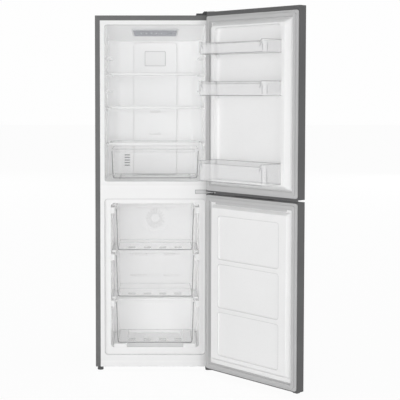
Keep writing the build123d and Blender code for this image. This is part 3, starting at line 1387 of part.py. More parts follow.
def door_bin(floor, height):
    """Clear door bin with a round-cornered front that is lower between its shoulders."""
    back = DOOR_INNER + BIN_BACK_GAP
    front = DOOR_INNER + BIN_REACH
    half = RECESS_HALF - BIN_SIDE_GAP
    rim = floor + height
    with BuildPart() as tray:
        for inset, bottom, mode in ((0, floor, Mode.ADD), (BIN_WALL, floor + BIN_WALL, Mode.SUBTRACT)):
            with BuildSketch(Plane.XY.offset(bottom)) as plan:
                with Locations((0, (back + front) / 2)):
                    Rectangle(2 * (half - inset), front - back - 2 * inset)
                fillet(plan.vertices().group_by(Axis.Y)[-1], BIN_CORNER - inset)
            extrude(amount=rim - bottom, mode=mode)
            if mode == Mode.ADD:
                fillet(tray.faces().sort_by(Axis.Z)[0].edges(), BIN_EDGE)
        with BuildSketch(facing(front)):
            with BuildLine():
                Polyline(
                    (-half + BIN_SHOULDER, rim),
                    (half - BIN_SHOULDER, rim),
                    (half - BIN_SHOULDER - BIN_SHOULDER_SLOPE, rim - BIN_FRONT_DROP),
                    (-half + BIN_SHOULDER + BIN_SHOULDER_SLOPE, rim - BIN_FRONT_DROP),
                    close=True,
                )
            make_face()
        extrude(amount=2 * BIN_WALL, mode=Mode.SUBTRACT)
    return tray


# Fridge door

FRIDGE_SKIN_LOW = FRIDGE_DOOR_LOW + FRIDGE_BOTTOM_EDGE
FRIDGE_SKIN_HIGH = FRIDGE_DOOR_HIGH - FRIDGE_TOP_EDGE
DIKE_HALF = HALF_WIDTH - GASKET_EDGE - GASKET_WIDTH - DIKE_START_SIDES
FRIDGE_DIKE_LOW = FRIDGE_SKIN_LOW + GASKET_WIDTH + FRIDGE_DIKE_START_ENDS
FRIDGE_DIKE_HIGH = FRIDGE_SKIN_HIGH - GASKET_WIDTH - FRIDGE_DIKE_START_ENDS
RECESS_HALF = DIKE_HALF - FRIDGE_DIKE_SLOPE - FRIDGE_DIKE_RIDGE_SIDES
RECESS_LOW = FRIDGE_DIKE_LOW + FRIDGE_DIKE_SLOPE + FRIDGE_DIKE_RIDGE_ENDS
RECESS_HIGH = FRIDGE_DIKE_HIGH - FRIDGE_DIKE_SLOPE - FRIDGE_DIKE_RIDGE_ENDS
FRIDGE_FORM = (DIKE_HALF, FRIDGE_DIKE_LOW, FRIDGE_DIKE_HIGH, FRIDGE_DIKE_SLOPE, FRIDGE_DIKE_HEIGHT)
FRIDGE_RECESS = [
    (
        RECESS_HALF,
        RECESS_LOW,
        RECESS_HIGH,
        RECESS_CORNER,
        RECESS_TOP_CORNER,
        0,
        FRIDGE_DIKE_HEIGHT,
        RECESS_FLOOR_ROUND,
    )
]
BIN_LEVELS = {
    "upper_bin": (FRIDGE_DOOR_LOW + UPPER_BIN_RISE, UPPER_BIN_HEIGHT),
    "middle_bin": (FRIDGE_DOOR_LOW + MIDDLE_BIN_RISE, MIDDLE_BIN_HEIGHT),
    "lower_bin": (RECESS_LOW + REST_GAP, LOWER_BIN_HEIGHT),
}

fridge_core = filling(FRIDGE_FORM, FRIDGE_RECESS)
write_on_door(door_skin(FRIDGE_SKIN_LOW, FRIDGE_SKIN_HIGH), "fridge_door_skin")
write_on_door(end_cap(FRIDGE_DOOR_HIGH, FRIDGE_TOP_EDGE, 1, False, True), "fridge_door_top_cap")
DRIP_LIP = DOOR_SPLIT - DRIP_LIP_GAP
write_on_door(
    end_cap(FRIDGE_DOOR_LOW, FRIDGE_BOTTOM_EDGE, -1, True, False, DRIP_LIP),
    "fridge_door_bottom_cap",
)
write_on_door(door_gasket(FRIDGE_SKIN_LOW, FRIDGE_SKIN_HIGH), "fridge_door_gasket")
with BuildPart() as fridge_door_liner:
    add(door_liner(FRIDGE_SKIN_LOW, FRIDGE_SKIN_HIGH, FRIDGE_FORM, FRIDGE_RECESS, fridge_core).part)
    lug_back = DOOR_INNER + RECESS_FLOOR_ROUND
    for bin_floor in (BIN_LEVELS["upper_bin"][0], BIN_LEVELS["middle_bin"][0]):
        for side in (-1, 1):
            outer = side * (RECESS_HALF + LINER_SHEET / 2)
            inner = side * (RECESS_HALF - BIN_LUG_REACH)
            slab(
                (min(outer, inner), lug_back, bin_floor - REST_GAP - BIN_LUG_HEIGHT),
                (max(outer, inner), lug_back + BIN_LUG_WIDTH, bin_floor - REST_GAP),
            )
write_on_door(fridge_door_liner, "fridge_door_liner")
fridge_door_foam = door_foam(
    FRIDGE_SKIN_LOW,
    FRIDGE_SKIN_HIGH,
    fridge_core,
    [(1, FRIDGE_DOOR_HIGH, False), (-1, FRIDGE_DOOR_LOW, True)],
)
write_on_door(fridge_door_foam, "fridge_door_foam")
for bin_name, (bin_floor, bin_height) in BIN_LEVELS.items():
    write_on_door(door_bin(bin_floor, bin_height), bin_name)

# Freezer door

FREEZER_SKIN_LOW = FREEZER_DOOR_LOW + FREEZER_BOTTOM_EDGE
FREEZER_SKIN_HIGH = FREEZER_DOOR_HIGH - FREEZER_TOP_EDGE
FREEZER_DIKE_LOW = FREEZER_SKIN_LOW + GASKET_WIDTH + FREEZER_DIKE_START_BELOW
FREEZER_DIKE_HIGH = FREEZER_SKIN_HIGH - GASKET_WIDTH - FREEZER_DIKE_START_ABOVE
FREEZER_FORM = (DIKE_HALF, FREEZER_DIKE_LOW, FREEZER_DIKE_HIGH, FREEZER_DIKE_SLOPE, FREEZER_DIKE_HEIGHT)
PANEL_HALF = DIKE_HALF - FREEZER_DIKE_SLOPE - PANEL_SIDE_MARGIN
PANEL_LOW = FREEZER_DIKE_LOW + FREEZER_DIKE_SLOPE + PANEL_MARGIN_BELOW
PANEL_HIGH = FREEZER_DIKE_HIGH - FREEZER_DIKE_SLOPE - PANEL_MARGIN_ABOVE
PANEL_HEIGHT = (PANEL_HIGH - PANEL_LOW - (PANEL_COUNT - 1) * PANEL_SPACING) / PANEL_COUNT
FREEZER_PANELS = []
for row in range(PANEL_COUNT):
    panel_floor = PANEL_LOW + row * (PANEL_HEIGHT + PANEL_SPACING)
    FREEZER_PANELS.append(
        (
            PANEL_HALF,
            panel_floor,
            panel_floor + PANEL_HEIGHT,
            PANEL_CORNER,
            PANEL_CORNER,
            FREEZER_DIKE_HEIGHT - PANEL_DEPTH,
            FREEZER_DIKE_HEIGHT,
            PANEL_FLOOR_ROUND,
        )
    )

freezer_core = filling(FREEZER_FORM, FREEZER_PANELS)
write_on_door(door_skin(FREEZER_SKIN_LOW, FREEZER_SKIN_HIGH), "freezer_door_skin")
write_on_door(end_cap(FREEZER_DOOR_HIGH, FREEZER_TOP_EDGE, 1, True, False), "freezer_door_top_cap")
with BuildPart() as freezer_door_bottom_cap:
    add(end_cap(FREEZER_DOOR_LOW, FREEZER_BOTTOM_EDGE, -1, False, False).part)
    pad_end = -HALF_WIDTH + REST_PAD_INSET
    pad_back = DOOR_INNER - REST_PAD_INSET
    slab(
        (pad_end, pad_back - REST_PAD_WIDTH, FREEZER_DOOR_LOW - REST_PAD_HEIGHT),
        (pad_end + REST_PAD_LENGTH, pad_back, FREEZER_DOOR_LOW + FREEZER_BOTTOM_EDGE / 2),
    )
    fillet(freezer_door_bottom_cap.faces().sort_by(Axis.Z)[0].edges(), REST_PAD_HEIGHT / 2)
write_on_door(freezer_door_bottom_cap, "freezer_door_bottom_cap")
with BuildPart() as freezer_door_gasket:
    add(door_gasket(FREEZER_SKIN_LOW, FREEZER_SKIN_HIGH).part)
    tongue_half = HALF_WIDTH - GASKET_TONGUE_INSET
    tongue_top = FREEZER_SKIN_HIGH - GASKET_WIDTH + GASKET_FLAP
    slab(
        (-tongue_half, DOOR_INNER, FREEZER_SKIN_HIGH - GASKET_WIDTH - GASKET_TONGUE_DROP),
        (tongue_half, DOOR_INNER + GASKET_FLAP, tongue_top),
    )
write_on_door(freezer_door_gasket, "freezer_door_gasket")
freezer_door_liner = door_liner(
    FREEZER_SKIN_LOW,
    FREEZER_SKIN_HIGH,
    FREEZER_FORM,
    FREEZER_PANELS,
    freezer_core,
)
write_on_door(freezer_door_liner, "freezer_door_liner")
freezer_door_foam = door_foam(
    FREEZER_SKIN_LOW,
    FREEZER_SKIN_HIGH,
    freezer_core,
    [(1, FREEZER_DOOR_HIGH, True), (-1, FREEZER_DOOR_LOW, False)],
)
write_on_door(freezer_door_foam, "freezer_door_foam")

print("hinge line", HINGE_X, HINGE_Y, "ceiling slope", round(degrees(SLOPE), 3))
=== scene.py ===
"""Refrigerator with the freezer below and both doors open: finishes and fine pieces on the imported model.

Everything is in metres, +Z up, and the front of the cabinet faces -Y.
"""
import logging
from dataclasses import dataclass
from enum import StrEnum, auto
from math import pi, radians
from typing import ClassVar

import bpy
from mathutils import Matrix, Vector
from mathutils.bvhtree import BVHTree


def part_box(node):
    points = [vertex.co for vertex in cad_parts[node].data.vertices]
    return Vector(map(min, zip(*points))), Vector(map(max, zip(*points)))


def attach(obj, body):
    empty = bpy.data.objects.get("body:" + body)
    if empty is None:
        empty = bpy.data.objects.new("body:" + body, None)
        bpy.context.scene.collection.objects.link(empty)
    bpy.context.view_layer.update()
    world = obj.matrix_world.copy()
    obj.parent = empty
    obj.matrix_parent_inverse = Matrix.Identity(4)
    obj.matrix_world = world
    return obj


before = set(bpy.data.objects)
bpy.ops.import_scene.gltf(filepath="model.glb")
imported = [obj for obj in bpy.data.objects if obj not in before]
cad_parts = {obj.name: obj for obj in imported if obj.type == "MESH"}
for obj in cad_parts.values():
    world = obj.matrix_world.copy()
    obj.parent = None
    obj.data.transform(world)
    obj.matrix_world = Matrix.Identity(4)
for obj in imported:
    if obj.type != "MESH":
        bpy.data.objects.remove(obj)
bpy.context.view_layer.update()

LOG = logging.getLogger("refrigerator")
MM = 0.001
WHITE = (1.0, 1.0, 1.0, 1.0)
Colour = Point = tuple[float, float, float]
Pair = tuple[float, float]
Socket = bpy.types.NodeSocket

EVEN = (1.0, 1.0, 1.0)
UP, DOWN = (0.0, 0.0, 1.0), (0.0, 0.0, -1.0)
LEFT, BACK = (-1.0, 0.0, 0.0), (0.0, 1.0, 0.0)

FACING = Matrix.Rotation(pi / 2, 4, "X")
BACKWARD = Matrix.Rotation(-pi / 2, 4, "X")
UPRIGHT = Matrix.Rotation(pi / 2, 4, "Y")


class Body(StrEnum):
    """Bodies that the pieces ride on, named as in the record."""

    CABINET = auto()
    FRIDGE_DOOR = auto()
    FREEZER_DOOR = auto()
    UPPER_BIN = auto()
    MIDDLE_BIN = auto()
    LOWER_BIN = auto()
    UPPER_SHELF = auto()
    LOWER_SHELF = auto()
    CRISPER_COVER = auto()
    CRISPER_DRAWER = auto()
    FREEZER_DRAWER_TOP = auto()
    FREEZER_DRAWER_MIDDLE = auto()
    FREEZER_DRAWER_BOTTOM = auto()
    FRONT_LEFT_FOOT = auto()
    FRONT_RIGHT_FOOT = auto()
    REAR_LEFT_ROLLER = auto()
    REAR_RIGHT_ROLLER = auto()


class Slot(StrEnum):
    """Material slots, named as in the record."""

    GREY_PAINT = auto()
    GALVANISED = auto()
    DARK_STEEL = auto()
    FOAM = auto()
    WHITE_PLASTIC = auto()
    PANEL_GREY = auto()
    FROSTED_PLASTIC = auto()
    DARK_PLASTIC = auto()
    GASKET_GREY = auto()
    CLEAR_PLASTIC = auto()
    SHELF_GLASS = auto()
    BLACK_RUBBER = auto()
    FIN_ALUMINIUM = auto()


class Tree:
    """Node tree, written socket by socket."""

    def __init__(self, tree: bpy.types.NodeTree) -> None:
        """Empty a tree to write in it."""
        self.tree = tree
        tree.nodes.clear()

    def node(self, kind: str, inputs: dict | None = None, **settings: object) -> bpy.types.Node:
        """Add a node.

        Args:
            kind: Blender's name for the node.
            inputs: values or sockets by input name or number.
            **settings: properties of the node itself.

        Returns:
            The new node.
        """
        made = self.tree.nodes.new(kind)
        for key, value in settings.items():
            setattr(made, key, value)
        for key, value in (inputs or {}).items():
            if isinstance(value, Socket):
                self.tree.links.new(value, made.inputs[key])
            else:
                made.inputs[key].default_value = value
        return made

    def out(self, kind: str, inputs: dict | None = None, output: str | int = 0, **settings: object) -> Socket:
        """Add a node and take one of its outputs, the first where none is named."""
        return self.node(kind, inputs, **settings).outputs[output]

    def math(self, operation: str, *values: Socket | float) -> Socket:
        """Add a step of arithmetic."""
        return self.out("ShaderNodeMath", dict(enumerate(values)), operation=operation)

    def vector(self, **parts: Socket) -> Socket:
        """Vector from its parts, 0 where none is given."""
        return self.out("ShaderNodeCombineXYZ", parts)

    def part(self, vector: Socket, axis: str) -> Socket:
        """One of a vector's three parts."""
        return self.out("ShaderNodeSeparateXYZ", {"Vector": vector}, axis)

    def span(self, source: Socket, low: float, high: float, start: float = 0.3, end: float = 0.7) -> Socket:
        """Spread a value that runs from start to end between low and high."""
        ends = {"From Min": start, "From Max": end, "To Min": low, "To Max": high}
        return self.out("ShaderNodeMapRange", {"Value": source, **ends})


class Recipe(Tree):
    """Node tree of one material."""

    def __init__(self, name: str) -> None:
        """Start an empty material.

        Args:
            name: name of the material.
        """
        self.material = bpy.data.materials.new(name)
        self.material.use_nodes = True
        super().__init__(self.material.node_tree)
        self.place = self.out("ShaderNodeTexCoord", None, "Object")

    def turn(self, axis: str) -> Socket:
        """How far the surface faces along an axis."""
        return self.part(self.out("ShaderNodeNewGeometry", None, "Normal"), axis)

    def noise(self, scale: float, detail: float = 2.0, stretch: Point = EVEN) -> Socket:
        """Smooth noise over the piece: waves in a metre, octaves, and the scale along each axis."""
        place = self.out("ShaderNodeMapping", {"Vector": self.place, "Scale": stretch})
        return self.out("ShaderNodeTexNoise", {"Vector": place, "Scale": scale, "Detail": detail})

    def shades(self, source: Socket, places: tuple[float, ...], colours: tuple[Colour, ...]) -> Socket:
        """Turn a value into a colour.

        Args:
            source: the value.
            places: values between 0 and 1, rising.
            colours: the colour at each of them.

        Returns:
            The colour.
        """
        ramp = self.node("ShaderNodeValToRGB", {"Fac": source})
        elements = ramp.color_ramp.elements
        while len(elements) < len(places):
            elements.new(0.5)
        for element, place, colour in zip(elements, places, colours):
            element.position = place
            element.color = (*colour, 1.0)
        return ramp.outputs["Color"]

    def bump(self, source: Socket, depth: float) -> Socket:
        """Normal bent by a height between 0 and 1, which stands for a depth in metres."""
        return self.out("ShaderNodeBump", {"Height": source, "Distance": depth})

    def close(self, shader: Socket) -> None:
        """Join a shader to the output."""
        self.node("ShaderNodeOutputMaterial", {"Surface": shader})


@dataclass(frozen=True)
class Finish:
    """A solid finish: colour with a slow drift of tone, gloss, and fine relief."""

    name: str
    slot: Slot
    colour: Colour
    gloss: float
    tone: float = 0.03
    tone_scale: float = 5.0
    tone_detail: float = 4.0
    stops: tuple[float, ...] = (0.3, 0.5, 0.7)
    gloss_spread: float = 0.06
    grain_scale: float = 900.0
    grain_depth: float = 0.02 * MM
    stretch: Point = EVEN
    metal: float = 0.0
    coat: float = 0.0
    coat_gloss: float = 0.25

    made: ClassVar[dict[str, bpy.types.Material]] = {}

    def material(self) -> bpy.types.Material:
        """Material of this finish, made at the first call.

        Returns:
            The material.
        """
        if self.name not in self.made:
            recipe = Recipe(self.name)
            recipe.close(recipe.out("ShaderNodeBsdfPrincipled", self.sockets(recipe)))
            self.made[self.name] = recipe.material
        return self.made[self.name]

    def shade(self, share: float) -> Colour:
        """The colour, lighter by a share of itself."""
        return tuple(min(1.0, c * (1.0 + share)) for c in self.colour)

    def blend(self, recipe: Recipe, source: Socket, share: float) -> Socket:
        """The colour, from darker to lighter by a share as the source rises."""
        return recipe.shades(source, self.stops, (self.shade(-share), self.colour, self.shade(share)))

    def drift(self, recipe: Recipe) -> Socket:
        """Slow drift of tone over the surface."""
        return recipe.noise(self.tone_scale, self.tone_detail)

    def tones(self, recipe: Recipe) -> Socket:
        """Colour over the surface."""
        return self.blend(recipe, self.drift(recipe), self.tone)

    def rough(self, recipe: Recipe, grain: Socket) -> Socket:
        """Gloss that varies with the grain."""
        return recipe.span(grain, self.gloss - self.gloss_spread, self.gloss + self.gloss_spread)

    def sockets(self, recipe: Recipe) -> dict[str, Socket | float]:
        """What goes into the shader.

        Args:
            recipe: the tree being written.

        Returns:
            Sockets and values by input name.
        """
        grain = recipe.noise(self.grain_scale, stretch=self.stretch)
        return {
            "Base Color": self.tones(recipe),
            "Roughness": self.rough(recipe, grain),
            "Normal": recipe.bump(grain, self.grain_depth),
            "Metallic": self.metal,
            "Coat Weight": self.coat,
            "Coat Roughness": self.coat_gloss,
        }


@dataclass(frozen=True)
class FleckedPaint(Finish):
    """Silver-grey paint with metal flecks under a satin coat."""

    stops: tuple[float, ...] = (0.2, 0.5, 0.8)
    fleck: float = 0.10
    fleck_scale: float = 1400.0
    fleck_detail: float = 1.0
    tone_detail: float = 3.0
    fleck_range: Pair = (0.6, 1.4)

    def tones(self, recipe: Recipe) -> Socket:
        """Colour with fine flecks."""
        flecks = recipe.math("ADD", recipe.noise(self.fleck_scale, self.fleck_detail), self.drift(recipe))
        return self.blend(recipe, recipe.span(flecks, 0.0, 1.0, *self.fleck_range), self.fleck)


@dataclass(frozen=True)
class ShadePaintedLiner(Finish):
    """Glossy white liner with painted light: its front lip and the forward-facing ledge tips near the front
    are painted greyer as shade, and the walls behind lighter, in place of even light deep inside.
    """

    lip: Colour = (0.86, 0.86, 0.86)
    lip_place: float = -0.264
    lip_fade: float = 12.0 * MM
    tip_place: float = -0.14
    tip_turns: Pair = (-0.7, -0.3)
    drift_share: float = 0.2
    places: tuple[float, ...] = (0.05, 0.15, 0.85, 0.95)

    def tones(self, recipe: Recipe) -> Socket:
        """Painted shade on the lip and on the tips that face forwards, painted light on the walls behind.

        Args:
            recipe: the tree being written.

        Returns:
            The colour.
        """
        # Painted shade and light: the front lip and forward-facing tips take the greyer lip colour, the walls
        # behind take the lighter colour.
        depth = recipe.part(recipe.place, "Y")
        wall = recipe.span(depth, 0.0, 1.0 - self.drift_share, self.lip_place, self.lip_place + self.lip_fade)
        side = recipe.span(recipe.turn("Y"), 0.0, 1.0, *self.tip_turns)
        past = recipe.span(depth, 0.0, 1.0, self.tip_place, self.tip_place + self.lip_fade)
        behind = recipe.math("MULTIPLY", wall, recipe.math("MAXIMUM", side, past))
        mixed = recipe.math("MULTIPLY_ADD", self.drift(recipe), self.drift_share, behind)
        return recipe.shades(mixed, self.places, (self.lip, self.lip, self.colour, self.shade(self.tone)))


@dataclass(frozen=True)
class SpangledZinc(Finish):
    """Galvanised sheet, whose zinc sets in small angular spangles."""

    stops: tuple[float, ...] = (0.1, 0.6, 0.9)
    spangle_scale: float = 170.0

    def tones(self, recipe: Recipe) -> Socket:
        """Colour that steps from spangle to spangle."""
        cells = recipe.out(
            "ShaderNodeTexVoronoi", {"Vector": recipe.place, "Scale": self.spangle_scale}, "Color"
        )
        return self.blend(recipe, recipe.out("ShaderNodeSeparateColor", {"Color": cells}), self.tone)


@dataclass(frozen=True)
class ClearFinish(Finish):
    """Clear moulding or glass, nearly unseen square on and greyer along its edges."""

    tone: float = 0.02
    face_on: float = 0.03
    edge_on: float = 0.8
    edge_start: float = 0.35
    level: float = 0.2
    level_turns: Pair = (0.2, 0.9)
    refraction: float = 1.49

    def sockets(self, recipe: Recipe) -> dict[str, Socket | float]:
        """What goes into the shader.

        Args:
            recipe: the tree being written.

        Returns:
            Sockets and values by input name.
        """
        facing = recipe.out("ShaderNodeLayerWeight", None, "Facing")
        solid = recipe.span(facing, self.face_on, self.edge_on, self.edge_start, 1.0)
        upright = recipe.span(recipe.math("ABSOLUTE", recipe.turn("Z")), 1.0, self.level, *self.level_turns)
        return {
            "Base Color": self.tones(recipe),
            "Roughness": self.rough(recipe, recipe.noise(self.grain_scale, stretch=self.stretch)),
            "Alpha": recipe.math("MULTIPLY", solid, upright),
            "IOR": self.refraction,
        }


def grey(level: float, blue: float = 0.0) -> Colour:
    """Grey with a touch of blue."""
    return (level, level, level + blue)


class Look:
    """The finishes of this refrigerator."""

    MOULDED = {"tone": 0.01, "grain_scale": 260.0}
    VINYL = {"tone": 0.02, "grain_scale": 300.0}

    GREY_PAINT = FleckedPaint("silver_grey_paint", Slot.GREY_PAINT, grey(0.132, 0.001), 0.42, coat=0.1)
    # Painted shade: a darker copy of the cabinet's grey paint, for the doors' turned edges.
    DOOR_PAINT = FleckedPaint("dark_grey_paint", Slot.GREY_PAINT, grey(0.094, 0.001), 0.42, coat=0.1)
    CAP_GREY = Finish("grey_end_cap", Slot.DARK_PLASTIC, grey(0.10, 0.002), 0.5, grain_depth=0.04 * MM)
    # The liner walls' 0.97 white is painted light and its grey lip painted shade.
    LINER = ShadePaintedLiner("white_liner", Slot.WHITE_PLASTIC, grey(0.97), 0.2, **MOULDED)
    DOOR_LINER = Finish("white_door_liner", Slot.WHITE_PLASTIC, grey(0.88), 0.32, **MOULDED)
    # Painted shade: a greyer copy of the fittings' white plastic, for rails, kick plate, shelf trims and
    # drawer stops that face the lamps.
    RAIL = Finish("white_rail", Slot.WHITE_PLASTIC, grey(0.86), 0.38, **MOULDED)
    FITTING = Finish("white_fitting", Slot.WHITE_PLASTIC, grey(0.95), 0.3, tone=0.01, grain_scale=420.0)
    # Painted shade: dark strips that stand in for the shade inside the grille's slots.
    SLOT_SHADE = Finish("slot_shade", Slot.GASKET_GREY, grey(0.22, 0.005), 0.6, grain_scale=500.0)
    FILM = Finish("panel_film", Slot.PANEL_GREY, (0.315, 0.325, 0.365), 0.28, grain_scale=1500.0)
    LENS = Finish("frosted_lens", Slot.FROSTED_PLASTIC, grey(0.90), 0.45, tone=0.01, grain_scale=600.0)
    DARK = Finish("dark_moulding", Slot.DARK_PLASTIC, grey(0.05, 0.002), 0.55, grain_depth=0.05 * MM)
    GASKET = Finish("grey_vinyl", Slot.GASKET_GREY, grey(0.535, 0.002), 0.6, **VINYL)
    GASKET_RIB = Finish("grey_vinyl_rib", Slot.GASKET_GREY, grey(0.515, 0.002), 0.6, **VINYL)
    HINGE = Finish("hinge_zinc", Slot.GALVANISED, grey(0.66, 0.005), 0.5, tone=0.05, metal=0.1)
    # Painted shade along the hinge plate's edges.
    HINGE_EDGE = Finish("hinge_edge", Slot.GALVANISED, grey(0.22, 0.005), 0.5, tone=0.05, metal=0.3)
    BEZEL = Finish("panel_rim", Slot.PANEL_GREY, grey(0.66, 0.015), 0.32, grain_scale=1500.0)
    # Painted shade: grey line round the freezer's mouth.
    SEAM = Finish("step_shade_grey", Slot.GASKET_GREY, grey(0.52, 0.002), 0.6, **VINYL)
    # Painted shade: pale grey lines round the freezer door's sunk panels.
    PALE_EDGE_SHADE = Finish("pale_edge_shade", Slot.WHITE_PLASTIC, grey(0.68, 0.002), 0.5, **VINYL)
    ENAMEL = Finish("black_enamel", Slot.DARK_STEEL, grey(0.02, 0.002), 0.3, coat=0.4, grain_scale=300.0)
    ZINC = SpangledZinc("zinc_sheet", Slot.GALVANISED, (0.52, 0.53, 0.54), 0.45, tone=0.05, metal=0.6)
    STEEL = Finish(
        "plated_steel", Slot.GALVANISED, grey(0.60, 0.01), 0.33, metal=0.85, stretch=(1.0, 12.0, 1.0)
    )
    FIN = Finish(
        "fin_sheet", Slot.FIN_ALUMINIUM, (0.70, 0.71, 0.72), 0.35, metal=0.9, stretch=(1.0, 1.0, 20.0)
    )
    RUBBER = Finish("black_rubber", Slot.BLACK_RUBBER, grey(0.03, 0.001), 0.75, grain_depth=0.06 * MM)
    FOAM = Finish("rigid_foam", Slot.FOAM, (0.72, 0.64, 0.42), 0.85, tone=0.08, tone_scale=60.0)
    TRAY = ClearFinish("clear_tray", Slot.CLEAR_PLASTIC, grey(0.90, 0.005), 0.14, face_on=0.02, edge_on=0.22)
    BIN = ClearFinish("milky_bin", Slot.CLEAR_PLASTIC, grey(0.97, 0.005), 0.2, face_on=0.25, edge_on=0.4)
    DASH = ClearFinish("clear_rib", Slot.CLEAR_PLASTIC, (0.55, 0.555, 0.56), 0.15, face_on=0.4, level=1.0)
    # Painted shade: the grey edge finishes stand in for the dark look of clear edges.
    EDGE = ClearFinish("clear_edge", Slot.CLEAR_PLASTIC, grey(0.44, 0.005), 0.2, face_on=0.6, level=1.0)
    FAINT = ClearFinish("faint_edge", Slot.CLEAR_PLASTIC, grey(0.62, 0.005), 0.2, face_on=0.2, level=0.6)
    # Painted shade: the darkest grey, for lines round the fronts of trays and bins.
    DARK_EDGE_SHADE = ClearFinish("dark_edge_shade", Slot.CLEAR_PLASTIC, grey(0.33, 0.005), 0.2, face_on=0.75, level=1.0)
    PANE = ClearFinish(
        "shelf_pane", Slot.SHELF_GLASS, (0.74, 0.80, 0.79), 0.06, tone=0.03, face_on=0.04, edge_on=0.5
    )
    LAMP_DOT = Finish("panel_dot", Slot.FROSTED_PLASTIC, grey(0.86, 0.02), 0.35, grain_scale=1500.0)


def dress(finish: Finish, *nodes: str) -> None:
    """Give solids their finish.

    Args:
        finish: the finish.
        *nodes: names of the solids.
    """
    for name in nodes:
        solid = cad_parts[name]
        solid.data.materials.clear()
        solid.data.materials.append(finish.material())
        LOG.info("%s: %s", name, finish.name)


def touch(node: str, start: Point, way: Point) -> Vector:
    """Where a straight line first meets a solid.

    Args:
        node: name of the solid.
        start: where the line starts.
        way: its direction.

    Returns:
        The point on the solid.
    """
    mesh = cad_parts[node].data
    tree = BVHTree.FromPolygons([v.co for v in mesh.vertices], [list(p.vertices) for p in mesh.polygons])
    hit = tree.ray_cast(Vector(start), Vector(way))[0]
    if hit is None:
        raise ValueError(f"nothing of {node} is met from {start}")
    return hit


def at(x: float, y: float, z: float) -> Matrix:
    """Shift to a point."""
    return Matrix.Translation((x, y, z))


class Pattern(Tree):
    """Geometry Nodes tree with named sizes, grown into plain meshes."""

    def __init__(self) -> None:
        """Start an empty tree."""
        super().__init__(bpy.data.node_groups.new(type(self).__name__, "GeometryNodeTree"))
        self.tree.interface.new_socket("Geometry", in_out="OUTPUT", socket_type="NodeSocketGeometry")
        self.source = self.node("NodeGroupInput")
        self.paint = self.node("GeometryNodeSetMaterial")
        self.node("NodeGroupOutput", {0: self.paint.outputs["Geometry"]})
        self.keys: dict[str, str] = {}

    def sizes(self, **first: float | int | Point) -> list[Socket]:
        """Add named inputs.

        Args:
            **first: first value of each, which also sets its kind.

        Returns:
            The sockets to read them from.
        """
        kinds = {float: "NodeSocketFloat", int: "NodeSocketInt", tuple: "NodeSocketVector"}
        for name, value in first.items():
            item = self.tree.interface.new_socket(name, in_out="INPUT", socket_type=kinds[type(value)])
            item.default_value = value
            self.keys[name] = item.identifier
        return [self.source.outputs[name] for name in first]

    def row(self, form: Socket, count: Socket, step: Socket) -> Socket:
        """Copies of a form in a straight row."""
        line = self.out("GeometryNodeMeshLine", {"Count": count, "Offset": step}, mode="OFFSET")
        return self.out("GeometryNodeInstanceOnPoints", {"Points": line, "Instance": form})

    def rounded(self, path: Socket, corner: Socket) -> Socket:
        """A path with its corners rounded."""
        return self.out("GeometryNodeFilletCurve", {"Curve": path, "Radius": corner, "Count": 6}, mode="POLY")

    def sweep(self, path: Socket, radius: Socket, sides: int, caps: bool) -> Socket:
        """Round bar along a path, with or without ends."""
        ring = self.out("GeometryNodeCurvePrimitiveCircle", {"Resolution": sides, "Radius": radius})
        return self.out("GeometryNodeCurveToMesh", {"Curve": path, "Profile Curve": ring, "Fill Caps": caps})

    def close(self, geometry: Socket) -> None:
        """End the tree: instances made real, then the material."""
        real = self.out("GeometryNodeRealizeInstances", {"Geometry": geometry})
        self.tree.links.new(real, self.paint.inputs["Geometry"])

    def grow(
        self, name: str, finish: Finish, body: Body, placing: Matrix, solid: str = "", **sizes: object
    ) -> None:
        """Make one piece from the tree and let it ride on its body.

        Args:
            name: name of the piece.
            finish: its finish.
            body: the body it rides on.
            placing: where the tree's own axes stand.
            solid: name of the solid whose shape the tree follows, if any.
            **sizes: values by input name.
        """
        self.paint.inputs["Material"].default_value = finish.material()
        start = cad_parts[solid].data.copy() if solid else bpy.data.meshes.new(name)
        piece = bpy.data.objects.new(name, start)
        bpy.context.scene.collection.objects.link(piece)
        modifier = piece.modifiers.new("pattern", "NODES")
        modifier.node_group = self.tree
        for key, value in sizes.items():
            modifier[self.keys[key]] = value
        graph = bpy.context.evaluated_depsgraph_get()
        mesh = bpy.data.meshes.new_from_object(piece.evaluated_get(graph), depsgraph=graph)
        piece.modifiers.clear()
        piece.data = mesh
        mesh.transform(placing)
        mesh.name = name
        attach(piece, body.value)
        LOG.info("%s rides on %s, %d faces", piece.name, body, len(piece.data.polygons))


class ScrewRow(Pattern):
    """Cross-head screws in a straight row, heads towards +Z."""

    head_sides = 14
    crown_radius = 3.1 * MM
    cross = (5.0 * MM, 1.1 * MM, 2.6 * MM)

    def __init__(self) -> None:
        """Write the tree."""
        super().__init__()
        count, step, radius, height = self.sizes(
            count=2, step=(0.1, 0.0, 0.0), head_radius=4.5 * MM, head_height=2.4 * MM
        )
        ends = {"Radius Bottom": radius, "Radius Top": self.crown_radius}
        head = self.out("GeometryNodeMeshCone", {"Vertices": self.head_sides, "Depth": height, **ends})
        both = self.node("GeometryNodeJoinGeometry")
        length, width, depth = self.cross
        for size in ((length, width, depth), (width, length, depth)):
            self.tree.links.new(self.out("GeometryNodeMeshCube", {"Size": size}), both.inputs["Geometry"])
        lift = {"Geometry": both.outputs["Geometry"], "Translation": self.vector(Z=height)}
        cutter = self.out("GeometryNodeTransform", lift)
        cut = self.out("GeometryNodeMeshBoolean", {"Mesh 1": head, "Mesh 2": cutter}, operation="DIFFERENCE")
        self.close(self.row(cut, count, step))


